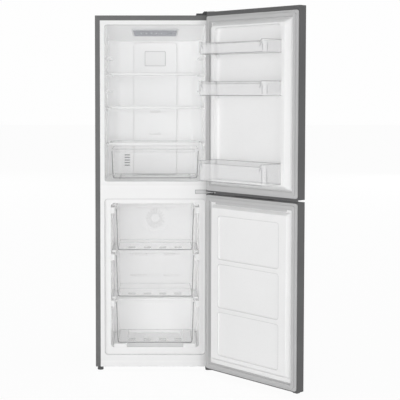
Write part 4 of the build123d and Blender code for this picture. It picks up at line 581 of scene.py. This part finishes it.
class BarRow(Pattern):
    """Rounded bars side by side, lying along X."""

    def __init__(self) -> None:
        """Write the tree."""
        super().__init__()
        count, step, length, radius, squash = self.sizes(
            count=1, step=(0.078, 0.0, 0.0), length=0.034, radius=2.0 * MM, squash=EVEN
        )
        start, end = (self.vector(X=self.math("MULTIPLY", length, share)) for share in (-0.5, 0.5))
        path = self.out("GeometryNodeCurvePrimitiveLine", {"Start": start, "End": end})
        bar = self.sweep(path, radius, sides=10, caps=True)
        flat = self.out("GeometryNodeTransform", {"Geometry": bar, "Scale": squash})
        self.close(self.row(flat, count, step))

    def louvre(self, name: str, place: Point, length: float, radius: float) -> None:
        """Set two white bars in an opening of the cabinet, one on the other about a point."""
        sizes = {"count": 2, "step": (0.0, 0.0, 2 * radius), "length": length, "radius": radius}
        self.grow(name, Look.FITTING, Body.CABINET, at(*place) @ at(0.0, 0.0, -radius), **sizes)


class LoopRib(Pattern):
    """Thin rib that follows a rounded rectangle in the XY plane."""

    def __init__(self) -> None:
        """Write the tree."""
        super().__init__()
        width, height, corner, radius, squash = self.sizes(
            width=0.5, height=0.8, corner=10.0 * MM, radius=1.0 * MM, squash=EVEN
        )
        outline = self.out("GeometryNodeCurvePrimitiveQuadrilateral", {"Width": width, "Height": height})
        rib = self.sweep(self.rounded(outline, corner), radius, sides=10, caps=False)
        self.close(self.out("GeometryNodeTransform", {"Geometry": rib, "Scale": squash}))


class RidgeRing(Pattern):
    """Upright ridges round a circle in the XY plane."""

    def __init__(self) -> None:
        """Write the tree."""
        super().__init__()
        count, radius, ridge = self.sizes(count=24, radius=15.5 * MM, ridge=(1.4 * MM, 1.8 * MM, 6.0 * MM))
        ring = self.out("GeometryNodeMeshCircle", {"Vertices": count, "Radius": radius})
        block = self.out("GeometryNodeMeshCube", {"Size": ridge})
        place = self.out("GeometryNodeInputPosition")
        turn = self.out("FunctionNodeAlignRotationToVector", {"Vector": place}, axis="X")
        copies = {"Points": ring, "Instance": block, "Rotation": turn}
        self.close(self.out("GeometryNodeInstanceOnPoints", copies))


class EdgeLine(Pattern):
    """Fine grey lines of painted shade along the crisp edges of a solid, from a front plane backwards."""

    weld = 0.02 * MM

    def __init__(self) -> None:
        """Write the tree."""
        super().__init__()
        self.tree.interface.new_socket("Solid", in_out="INPUT", socket_type="NodeSocketGeometry")
        radius, turn, front = self.sizes(radius=0.8 * MM, least_turn=0.7, front=-10.0)
        solid = {"Geometry": self.source.outputs["Solid"], "Distance": self.weld}
        merged = self.out("GeometryNodeMergeByDistance", solid)
        angle = self.out("GeometryNodeInputMeshEdgeAngle")
        crisp = self.out("FunctionNodeCompare", {0: angle, 1: turn}, operation="GREATER_THAN")
        depth = self.part(self.out("GeometryNodeInputPosition"), "Y")
        inside = self.out("FunctionNodeCompare", {0: depth, 1: front}, operation="GREATER_THAN")
        kept = self.out("FunctionNodeBooleanMath", {0: crisp, 1: inside}, operation="AND")
        line = self.out("GeometryNodeMeshToCurve", {"Mesh": merged, "Selection": kept})
        self.close(self.sweep(line, radius, sides=6, caps=True))

    def trace(self, name: str, finish: Finish, body: Body, solid: str, **sizes: float) -> None:
        """Draw the edges of a solid where it stands."""
        self.grow(name, finish, body, Matrix(), solid, **sizes)


class TrayEdgeShade(Pattern):
    """Grey line of painted shade down one front corner of a tray, along its floor and up the other corner."""

    def __init__(self) -> None:
        """Write the tree."""
        super().__init__()
        rim, floor, height, lean, corner, radius = self.sizes(
            rim_half=0.19, floor_half=0.18, height=0.2, lean=7.0 * MM, corner=12.0 * MM, radius=1.6 * MM
        )
        top, base = {"Z": height}, {"Y": lean}
        corners = ((rim, -1.0, top), (floor, -1.0, base), (floor, 1.0, base), (rim, 1.0, top))
        spots = self.node("GeometryNodeIndexSwitch", data_type="VECTOR")
        while len(spots.index_switch_items) < len(corners):
            spots.index_switch_items.new()
        self.tree.links.new(self.out("GeometryNodeInputIndex"), spots.inputs["Index"])
        for number, (half, side, rest) in enumerate(corners):
            spot = self.vector(X=self.math("MULTIPLY", half, side), **rest)
            self.tree.links.new(spot, spots.inputs[number + 1])
        line = self.out("GeometryNodeMeshLine", {"Count": len(corners)}, mode="OFFSET")
        bent = self.out("GeometryNodeSetPosition", {"Geometry": line, "Position": spots.outputs["Output"]})
        path = self.out("GeometryNodeMeshToCurve", {"Mesh": bent})
        self.close(self.sweep(self.rounded(path, corner), radius, sides=8, caps=True))


class RingGuard(Pattern):
    """Wire rings one inside the other, in the XY plane."""

    ring_sides = 40

    def __init__(self) -> None:
        """Write the tree."""
        super().__init__()
        count, first, pitch, radius = self.sizes(
            count=8, first_radius=0.02, pitch=4.0 * MM, wire_radius=1.6 * MM
        )
        grown = self.math("MULTIPLY_ADD", self.out("GeometryNodeInputIndex"), pitch, first)
        size = self.vector(X=grown, Y=grown, Z=grown)
        line = self.out("GeometryNodeMeshLine", {"Count": count, "Offset": (0.0, 0.0, 0.0)}, mode="OFFSET")
        circle = self.out("GeometryNodeCurvePrimitiveCircle", {"Resolution": self.ring_sides, "Radius": 1.0})
        rings = self.out("GeometryNodeInstanceOnPoints", {"Points": line, "Instance": circle, "Scale": size})
        path = self.out("GeometryNodeRealizeInstances", {"Geometry": rings})
        self.close(self.sweep(path, radius, sides=8, caps=False))


@dataclass
class Forms:
    """The repeating forms, each written once."""

    screws: ScrewRow
    bars: BarRow
    loops: LoopRib
    ridges: RidgeRing
    edges: EdgeLine
    edge_shades: TrayEdgeShade
    rings: RingGuard


@dataclass
class Cabinet:
    """Outer shell, front frame, hinges and feet."""

    forms: Forms
    hinge_line: float = 0.8 * MM
    screw_inset: float = 12.0 * MM
    screw_step: float = 0.19
    foot_ridges: int = 26
    foot_rise: float = 4.5 * MM
    foot_bite: float = 0.3 * MM

    def dress(self) -> None:
        """Give the shell's solids their finishes."""
        dress(Look.GREY_PAINT, "cabinet_shell")
        # The rails' greyer white is painted shade.
        dress(Look.RAIL, "mid_rail", "kick_plate")
        dress(Look.ZINC, "back_panel", "base_pan")
        dress(Look.FOAM, "insulation")
        dress(Look.HINGE, "mid_hinge", "hinge_screws", "top_hinge")
        dress(Look.DARK, "top_hinge_cover", "bottom_hinge")
        dress(Look.CAP_GREY, "front_left_foot", "front_right_foot")

    def build(self) -> None:
        """Add the rear screws, dark lines of painted shade along the middle hinge's edges and the ridges of
        the feet.
        """
        edges = self.forms.edges
        edges.trace("mid_hinge_edges", Look.HINGE_EDGE, Body.CABINET, "mid_hinge", radius=self.hinge_line)
        low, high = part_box("back_panel")
        tall = high.z - low.z - 2 * self.screw_inset
        count = int(tall / self.screw_step) + 1
        sizes = {"count": count, "step": (0.0, -tall / (count - 1), 0.0)}
        for side, x in (("left", low.x + self.screw_inset), ("right", high.x - self.screw_inset)):
            placing = at(x, high.y, low.z + self.screw_inset) @ BACKWARD
            self.forms.screws.grow(f"back_screws_{side}", Look.STEEL, Body.CABINET, placing, **sizes)
        for body in (Body.FRONT_LEFT_FOOT, Body.FRONT_RIGHT_FOOT):
            low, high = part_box(body.value)
            placing = at((low.x + high.x) / 2, (low.y + high.y) / 2, self.foot_rise)
            sizes = {"count": self.foot_ridges, "radius": (high.x - low.x) / 2 - self.foot_bite}
            self.forms.ridges.grow(f"{body}_ridges", Look.CAP_GREY, body, placing, **sizes)


@dataclass
class Compartment:
    """A compartment with clear trays, whose outlines are drawn as grey lines of painted shade."""

    forms: Forms
    tray_lean: float = 7.0 * MM
    tray_round: float = 0.5 * MM
    tray_lift: float = 1.2 * MM
    tray_line: float = 0.7 * MM
    tray_shade_radius: float = 2.0 * MM
    below_rim: float = 12.0 * MM
    before_grip: float = 10.0 * MM
    beside_grip: float = 0.7
    probe: float = 0.1

    def outline_tray(self, body: Body, grip: bool) -> None:
        """Draw painted shade along the edges of a clear tray, darker round its front.

        Args:
            body: the tray, which is a body of its own.
            grip: whether the edges of the grip at its front are drawn.
        """
        name, lean = body.value, self.tray_lean / 2
        low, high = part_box(name)
        middle = (low + high) / 2
        wall = touch(name, (high.x + self.probe, middle.y, middle.z), LEFT).x - middle.x
        start = (middle.x + self.beside_grip * wall, low.y - self.probe, middle.z)
        front = touch(name, start, BACK).y
        first = low.y - self.before_grip if grip else front
        self.forms.edges.trace(f"{name}_edges", Look.FAINT, body, name, radius=self.tray_line, front=first)
        self.forms.edge_shades.grow(
            f"{name}_bead", Look.DARK_EDGE_SHADE, body,
            at(middle.x, front - lean + self.tray_round, low.z + self.tray_lift),
            rim_half=wall + lean - self.tray_round, floor_half=wall - lean - self.tray_round,
            height=high.z - low.z - self.tray_lift - self.below_rim, lean=self.tray_lean,
            radius=self.tray_shade_radius,
        )


@dataclass
class FoodCompartment(Compartment):
    """Upper liner with its air duct, lamp, control panel, shelves and crisper."""

    tray_lean: float = 6.0 * MM
    tray_lift: float = 6.5 * MM
    lamp_corner: float = 4.0 * MM
    lamp_gap_shade: float = 1.2 * MM
    dot_first: float = -0.071
    dot_step: float = 0.026
    dot_count: int = 5
    dot_length: float = 7.0 * MM
    dot_radius: float = 2.5 * MM
    dot_squash: Point = (1.0, 3.0, 0.3)
    floor_side: float = 0.12
    vent_rises: Pair = (0.340, 0.222)
    vent_bar: float = 0.056
    vent_radius: float = 2.1 * MM
    vent_depth: float = 3.0 * MM
    slot_count: int = 5
    slot_pitch: float = 13.9 * MM
    slot_bar: float = 0.028
    slot_radius: float = 2.3 * MM
    slot_depth: float = 2.6 * MM
    trim_line: float = 0.8 * MM
    pane_line: float = 1.2 * MM

    def dress(self) -> None:
        """Give the compartment's solids their finishes."""
        dress(Look.LINER, "fridge_liner")
        dress(Look.FITTING, "air_duct_cover", "return_air_grille")
        dress(Look.RAIL, "upper_shelf_trim", "lower_shelf_trim", "crisper_cover_trim")
        dress(Look.LENS, "lamp_cover")
        dress(Look.BEZEL, "control_bezel")
        dress(Look.FILM, "control_face", "temperature_button")
        dress(Look.PANE, "upper_shelf_glass", "lower_shelf_glass", "crisper_cover_glass")
        dress(Look.TRAY, "crisper_drawer")

    def build(self) -> None:
        """Add what fills the vents, the crisper's outlines in painted shade, a grey line of painted shadow in
        the gap round the lamp and the panel's dots.
        """
        self.fill_vents()
        self.outline_crisper()
        # A grey line round the lens paints the shadow of the gap round the lamp cover.
        low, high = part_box("lamp_cover")
        placing = at((low.x + high.x) / 2, low.y, (low.z + high.z) / 2) @ FACING
        sizes = {"width": high.x - low.x, "height": high.z - low.z, "corner": self.lamp_corner}
        self.forms.loops.grow("lamp_gap_shade", Look.GASKET, Body.CABINET, placing, radius=self.lamp_gap_shade, **sizes)
        low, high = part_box("control_face")
        start = (self.dot_first, (low.y + high.y) / 2, low.z - self.probe)
        self.forms.bars.grow(
            "panel_dots", Look.LAMP_DOT, Body.CABINET, at(*touch("control_face", start, UP)),
            count=self.dot_count, step=(self.dot_step, 0.0, 0.0), length=self.dot_length,
            radius=self.dot_radius, squash=self.dot_squash,
        )

    def fill_vents(self) -> None:
        """Set louvres in the duct's two vents and dark strips of painted shade in the return grille's slots.
        """
        bars = self.forms.bars
        low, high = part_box("air_duct_cover")
        floor = touch("fridge_liner", (self.floor_side, low.y, (low.z + high.z) / 2), DOWN).z
        for number, rise in enumerate(self.vent_rises):
            place = (0.0, low.y + self.vent_depth, floor + rise)
            bars.louvre(f"duct_louvres_{number + 1}", place, self.vent_bar, self.vent_radius)
        low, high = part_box("return_air_grille")
        centre = (low + high) / 2
        first = centre.z - self.slot_pitch * (self.slot_count - 1) / 2
        # Dark strips in the slots paint the shade of open slots.
        bars.grow(
            "return_slot_shade", Look.SLOT_SHADE, Body.CABINET, at(centre.x, low.y + self.slot_depth, first),
            count=self.slot_count, step=(0.0, 0.0, self.slot_pitch), length=self.slot_bar,
            radius=self.slot_radius,
        )

    def outline_crisper(self) -> None:
        """Draw grey lines of painted shade along the shelf trims' edges, the crisper's edges and the edge of
        the pane above it.
        """
        edges = self.forms.edges
        for body in (Body.UPPER_SHELF, Body.LOWER_SHELF):
            trim = f"{body}_trim"
            edges.trace(f"{trim}_edges", Look.FAINT, body, trim, radius=self.trim_line)
        self.outline_tray(Body.CRISPER_DRAWER, True)
        pane = "crisper_cover_glass"
        edges.trace("crisper_cover_edge", Look.FAINT, Body.CRISPER_COVER, pane, radius=self.pane_line)


@dataclass
class FreezerCompartment(Compartment):
    """Lower liner with its air cover, fan, coil and drawers."""

    dash_count: int = 4
    dash_step: float = 0.078
    dash_length: float = 0.036
    dash_radius: float = 3.0 * MM
    dash_squash: Point = (1.0, 1.0, 0.5)
    dash_setback: float = 0.09
    fan_height: float = 0.723
    fan_reach: float = 0.080
    outlet_step: float = 0.180
    outlet_rise: float = 0.118
    outlet_bar: float = 0.084
    outlet_radius: float = 2.4 * MM
    outlet_depth: float = 0.6 * MM
    guard_count: int = 10
    guard_first: float = 0.019
    guard_pitch: float = 4.0 * MM
    guard_wire: float = 1.9 * MM
    guard_depth: float = 2.0 * MM
    stop_inset: float = 10.5 * MM
    stop_front: float = -0.241
    stop_length: float = 19.0 * MM
    stop_radius: float = 6.0 * MM
    mouth_half: float = 0.2505
    mouth_low: float = 0.083
    mouth_high: float = 0.867
    mouth_corner: float = 0.016
    flange_probe: float = 2.0 * MM
    shade_line_margin: float = 1.2 * MM
    shade_line_radius: float = 1.0 * MM
    shade_line_squash: Point = (1.0, 1.0, 0.3)

    def dress(self) -> None:
        """Give the compartment's solids their finishes."""
        dress(Look.LINER, "freezer_liner")
        dress(Look.FITTING, "freezer_back_cover", "fan_blade")
        dress(Look.TRAY, "freezer_drawer_top", "freezer_drawer_middle", "freezer_drawer_bottom")
        dress(Look.FIN, "evaporator")
        dress(Look.DARK, "fan_motor")

    def build(self) -> None:
        """Add the louvres in the outlets, the fan's guard, a grey line of painted shade round the mouth's
        step and what the drawers carry.
        """
        self.fill_outlets()
        start = (0.0, -1.0, self.mouth_low - self.flange_probe)
        flange = touch("freezer_liner", start, BACK).y
        # A grey line round the mouth paints the shade of the flange's step.
        self.forms.loops.grow(
            "mouth_step_shade", Look.SEAM, Body.CABINET,
            at(0.0, flange, (self.mouth_low + self.mouth_high) / 2) @ FACING,
            width=2 * (self.mouth_half + self.shade_line_margin),
            height=self.mouth_high - self.mouth_low + 2 * self.shade_line_margin,
            corner=self.mouth_corner + self.shade_line_margin, radius=self.shade_line_radius, squash=self.shade_line_squash,
        )
        for body in (Body.FREEZER_DRAWER_TOP, Body.FREEZER_DRAWER_MIDDLE, Body.FREEZER_DRAWER_BOTTOM):
            self.outline_tray(body, False)
            self.fit_drawer(body)

    def fit_drawer(self, body: Body) -> None:
        """Add the ribs on a drawer's floor and the stops on its flanges.

        Args:
            body: the drawer, which is a body of its own.
        """
        low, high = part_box(body.value)
        spot = touch(body.value, (0.0, low.y + self.dash_setback, high.z), DOWN)
        self.forms.bars.grow(
            f"{body}_ribs", Look.DASH, body,
            at(spot.x - (self.dash_count - 1) / 2 * self.dash_step, spot.y, spot.z), count=self.dash_count,
            step=(self.dash_step, 0.0, 0.0), length=self.dash_length, radius=self.dash_radius,
            squash=self.dash_squash,
        )
        self.forms.bars.grow(
            f"{body}_stops", Look.RAIL, body,
            at(low.x + self.stop_inset, self.stop_front, high.z + self.stop_radius), count=2,
            step=(high.x - low.x - 2 * self.stop_inset, 0.0, 0.0), length=self.stop_length,
            radius=self.stop_radius,
        )

    def fill_outlets(self) -> None:
        """Set louvres in the four air outlets and a wire guard behind the fan's slots."""
        low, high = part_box("freezer_back_cover")
        middle = (low.z + self.fan_height - self.fan_reach) / 2
        for number, z in enumerate((middle - self.outlet_rise / 2, middle + self.outlet_rise / 2)):
            for side, x in (("left", -self.outlet_step / 2), ("right", self.outlet_step / 2)):
                name = f"outlet_louvres_{number + 1}_{side}"
                place = (x, high.y - self.outlet_depth, z)
                self.forms.bars.louvre(name, place, self.outlet_bar, self.outlet_radius)
        self.forms.rings.grow(
            "fan_guard", Look.FITTING, Body.CABINET,
            at(0.0, high.y + self.guard_depth, self.fan_height) @ FACING, count=self.guard_count,
            first_radius=self.guard_first, pitch=self.guard_pitch, wire_radius=self.guard_wire,
        )


@dataclass
class Door:
    """One door: skin, end caps, moulded liner and gasket."""

    forms: Forms
    body: Body
    hinge: Point = (0.2825, -0.3245, 0.0)
    opening: float = 132.0
    flap_insets: Pair = (5.0 * MM, 28.0 * MM)
    flap_depth: float = 5.0 * MM
    flap_corner: float = 6.0 * MM
    flap_radius: float = 0.7 * MM

    def swing(self) -> Matrix:
        """Turn from the shut door to the open one."""
        line = Matrix.Translation(self.hinge)
        return line @ Matrix.Rotation(radians(self.opening), 4, "Z") @ line.inverted()

    def shut_box(self, node: str) -> tuple[Vector, Vector]:
        """Box of a solid as it stands on the shut door.

        Args:
            node: name of the solid.

        Returns:
            Its lowest and highest corners.
        """
        back = self.swing().inverted()
        spots = [back @ v.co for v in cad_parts[node].data.vertices]
        return tuple(Vector(end(s[i] for s in spots) for i in range(3)) for end in (min, max))

    def dress(self) -> None:
        """Give the door's solids their finishes."""
        dress(Look.DOOR_PAINT, f"{self.body}_skin")
        dress(Look.CAP_GREY, f"{self.body}_top_cap", f"{self.body}_bottom_cap")
        dress(Look.DOOR_LINER, f"{self.body}_liner")
        dress(Look.GASKET, f"{self.body}_gasket")
        dress(Look.FOAM, f"{self.body}_foam")

    def build(self) -> None:
        """Add the ribs along the gasket's flap."""
        low, high = self.shut_box(f"{self.body}_gasket")
        centre = (low + high) / 2
        for number, inset in enumerate(self.flap_insets):
            self.forms.loops.grow(
                f"{self.body}_gasket_rib_{number + 1}", Look.GASKET_RIB, self.body,
                self.swing() @ at(centre.x, low.y + self.flap_depth, centre.z) @ FACING,
                width=high.x - low.x - 2 * inset, height=high.z - low.z - 2 * inset,
                corner=self.flap_corner, radius=self.flap_radius,
            )


@dataclass
class FridgeDoor(Door):
    """Upper door with its three bins."""

    corner: float = 16.0 * MM
    line: float = 0.9 * MM
    line_short: float = 26.0 * MM
    line_drop: float = 4.0 * MM
    base_line: float = 1.5 * MM
    base_inset: float = 2.0 * MM
    rib_length: float = 22.0 * MM
    rib_slant: float = 57.0
    rib_inset: float = 11.0 * MM
    rib_drop: float = 22.0 * MM

    def dress(self) -> None:
        """Give the door and its bins their finishes."""
        super().dress()
        dress(Look.BIN, "upper_bin", "middle_bin", "lower_bin")

    def build(self) -> None:
        """Add the gasket's ribs and the bins' outlines, drawn as painted shade."""
        super().build()
        for body in (Body.UPPER_BIN, Body.MIDDLE_BIN, Body.LOWER_BIN):
            self.outline_bin(body)

    def outline_bin(self, body: Body) -> None:
        """Draw grey lines of painted shade along the edges, round corners, base line and slanted ribs of one
        bin.

        Args:
            body: the bin, which is a body of its own.
        """
        name, bars = body.value, self.forms.bars
        self.forms.edges.trace(f"{name}_edges", Look.EDGE, body, name, radius=self.line)
        low, high = self.shut_box(name)
        middle = (low + high) / 2
        flat_half = (high.x - low.x) / 2 - self.corner
        tall = high.z - low.z - self.line_short
        lines = (("front", flat_half, high.y), ("side", flat_half + self.corner, high.y - self.corner))
        for spot, half, y in lines:
            placing = self.swing() @ at(middle.x - half, y, middle.z - self.line_drop) @ UPRIGHT
            sizes = {"count": 2, "step": (0.0, 0.0, 2 * half), "length": tall, "radius": self.line}
            bars.grow(f"{name}_{spot}_lines", Look.DARK_EDGE_SHADE, body, placing, **sizes)
        placing = self.swing() @ at(middle.x, high.y - self.base_inset, low.z + self.base_inset)
        bars.grow(f"{name}_base_line", Look.DARK_EDGE_SHADE, body, placing, length=2 * flat_half, radius=self.base_line)
        for side, way in (("left", 1.0), ("right", -1.0)):
            place = at(middle.x + way * (flat_half - self.rib_inset), high.y, high.z - self.rib_drop)
            placing = self.swing() @ place @ Matrix.Rotation(-way * radians(self.rib_slant), 4, "Y")
            sizes = {"length": self.rib_length, "radius": self.base_line}
            bars.grow(f"{name}_rib_{side}", Look.DARK_EDGE_SHADE, body, placing, **sizes)


@dataclass
class FreezerDoor(Door):
    """Lower door with three sunk panels."""

    panel_half: float = 0.1965
    panel_low: float = 0.113
    panel_high: float = 0.800
    panel_gap: float = 0.022
    panel_corner: float = 0.014
    panel_count: int = 3
    shade_line_radius: float = 1.1 * MM
    shade_line_squash: Point = (1.0, 1.0, 0.5)

    def build(self) -> None:
        """Add the gasket's ribs and grey lines of painted shade round the panels."""
        super().build()
        face = self.shut_box(f"{self.body}_liner")[1].y
        tall = (self.panel_high - self.panel_low - (self.panel_count - 1) * self.panel_gap) / self.panel_count
        for number in range(self.panel_count):
            middle = self.panel_low + number * (tall + self.panel_gap) + tall / 2
            # Pale grey loops paint the shade at the edges of the sunk panels.
            self.forms.loops.grow(
                f"panel_edge_shade_{number + 1}", Look.PALE_EDGE_SHADE, self.body,
                self.swing() @ at(0.0, face, middle) @ FACING, width=2 * self.panel_half, height=tall,
                corner=self.panel_corner, radius=self.shade_line_radius, squash=self.shade_line_squash,
            )


@dataclass
class MachineCompartment:
    """Niche behind the freezer with the compressor, drip tray and rollers."""

    forms: Forms
    ridge_count: int = 20
    ridge_size: Point = (1.4 * MM, 2.0 * MM, 16.0 * MM)
    ridge_bite: float = 0.9 * MM

    def dress(self) -> None:
        """Give the niche's solids their finishes."""
        dress(Look.ZINC, "compressor_deck", "compressor_cover")
        dress(Look.STEEL, "roller_axles")
        dress(Look.ENAMEL, "compressor")
        dress(Look.RUBBER, "compressor_mounts", "cable_gland")
        dress(Look.DARK, "drip_tray", "rear_left_roller", "rear_right_roller")

    def build(self) -> None:
        """Add the ridges on the rollers."""
        for body in (Body.REAR_LEFT_ROLLER, Body.REAR_RIGHT_ROLLER):
            low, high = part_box(body.value)
            placing = at(*(low + high) / 2) @ UPRIGHT
            radius = (high.z - low.z) / 2 - self.ridge_bite
            sizes = {"count": self.ridge_count, "radius": radius, "ridge": self.ridge_size}
            self.forms.ridges.grow(f"{body}_ridges", Look.RUBBER, body, placing, **sizes)


@dataclass(frozen=True)
class Lamp:
    """A soft square lamp, unseen by the camera and in gloss."""

    name: str
    place: Point
    power: float
    aim: Point = (0.0, -0.2, 0.9)
    size: float = 5.0

    def hang(self) -> None:
        """Hang the lamp and point it."""
        light = bpy.data.lights.new(self.name, "AREA")
        light.size = self.size
        light.energy = self.power
        holder = bpy.data.objects.new(self.name, light)
        holder.location = self.place
        holder.rotation_euler = (Vector(self.aim) - Vector(self.place)).to_track_quat("-Z", "Y").to_euler()
        holder.visible_camera = holder.visible_glossy = False
        bpy.context.scene.collection.objects.link(holder)


@dataclass
class Studio:
    """Floor, white surround, soft lamps and the camera."""

    eye: Point = (0.015, -5.5875, 1.402)
    tilt: float = 3.0
    lens: float = 95.94
    shift: Pair = (0.105, -0.1305)
    sight: float = 200.0
    floor_reach: float = 40.0
    floor_tone: float = 0.93
    floor_white: float = 0.95
    sky_light: float = 0.48
    sky_white: float = 0.99
    rear_aim: Point = (0.0, 0.2, 0.9)

    @staticmethod
    def white_for_sight(tree: Tree) -> Socket:
        """1 where the camera, a mirror or clear plastic looks straight at the surround.

        Args:
            tree: the tree being written.

        Returns:
            1 there, 0 elsewhere.
        """
        path = tree.node("ShaderNodeLightPath").outputs
        first = tree.math("MAXIMUM", path["Is Camera Ray"], path["Is Glossy Ray"])
        return tree.math("MAXIMUM", first, path["Is Transmission Ray"])

    def floor(self) -> None:
        """Lay the pale floor."""
        reach = self.floor_reach
        mesh = bpy.data.meshes.new("floor")
        corners = [(-reach, -reach, 0.0), (reach, -reach, 0.0), (reach, reach, 0.0), (-reach, reach, 0.0)]
        mesh.from_pydata(corners, [], [(0, 1, 2, 3)])
        plate = bpy.data.objects.new("floor", mesh)
        bpy.context.scene.collection.objects.link(plate)
        recipe = Recipe("pale_floor")
        plain = recipe.out("ShaderNodeBsdfDiffuse", {"Color": (*grey(self.floor_tone), 1.0)})
        white = recipe.out("ShaderNodeEmission", {"Color": WHITE})
        seen = recipe.span(self.white_for_sight(recipe), 0.0, self.floor_white, 0.0, 1.0)
        recipe.close(recipe.out("ShaderNodeMixShader", {0: seen, 1: plain, 2: white}))
        mesh.materials.append(recipe.material)

    def surround(self) -> None:
        """White surround that lights the object softly."""
        world = bpy.data.worlds.new("surround")
        bpy.context.scene.world = world
        world.use_nodes = True
        sky = Tree(world.node_tree)
        level = sky.span(self.white_for_sight(sky), self.sky_light, self.sky_white, 0.0, 1.0)
        glow = sky.out("ShaderNodeBackground", {"Color": WHITE, "Strength": level})
        sky.node("ShaderNodeOutputWorld", {"Surface": glow})

    def camera(self) -> None:
        """Set the camera at the photograph's viewpoint."""
        data = bpy.data.cameras.new("viewpoint")
        data.lens = self.lens
        data.shift_x, data.shift_y = self.shift
        data.clip_end = self.sight
        holder = bpy.data.objects.new("viewpoint", data)
        holder.location = self.eye
        holder.rotation_euler = (radians(90.0 - self.tilt), 0.0, 0.0)
        bpy.context.scene.collection.objects.link(holder)
        bpy.context.scene.camera = holder

    def build(self) -> None:
        """Set up the studio."""
        scene = bpy.context.scene
        scene.view_settings.view_transform = "Standard"
        scene.cycles.transparent_max_bounces = 32
        scene.cycles.max_bounces = 24
        scene.cycles.diffuse_bounces = 20
        self.floor()
        self.surround()
        for lamp in (
            Lamp("front_lamp", (0.0, -14.0, 1.2), 250.0),
            Lamp("left_lamp", (-6.6, -11.0, 1.2), 320.0),
            Lamp("right_lamp", (5.2, -11.7, 1.2), 240.0),
            Lamp("low_lamp", (-0.5, -3.0, 0.25), 18.0, (0.1, -0.2, 0.8), 1.6),
            Lamp("left_rear_lamp", (-6.0, 11.0, 3.0), 250.0, self.rear_aim),
            Lamp("right_rear_lamp", (6.0, 11.0, 3.0), 250.0, self.rear_aim),
        ):
            lamp.hang()
        self.camera()


def main() -> None:
    """Dress the solids, add the fine pieces and set up the studio."""
    logging.basicConfig(level=logging.INFO, format="%(message)s")
    forms = Forms(ScrewRow(), BarRow(), LoopRib(), RidgeRing(), EdgeLine(), TrayEdgeShade(), RingGuard())
    for part in (
        Cabinet(forms),
        FoodCompartment(forms),
        FreezerCompartment(forms),
        FridgeDoor(forms, Body.FRIDGE_DOOR),
        FreezerDoor(forms, Body.FREEZER_DOOR),
        MachineCompartment(forms),
    ):
        LOG.info("building %s", type(part).__name__)
        part.dress()
        part.build()
    Studio().build()


if __name__ == "__main__":
    main()
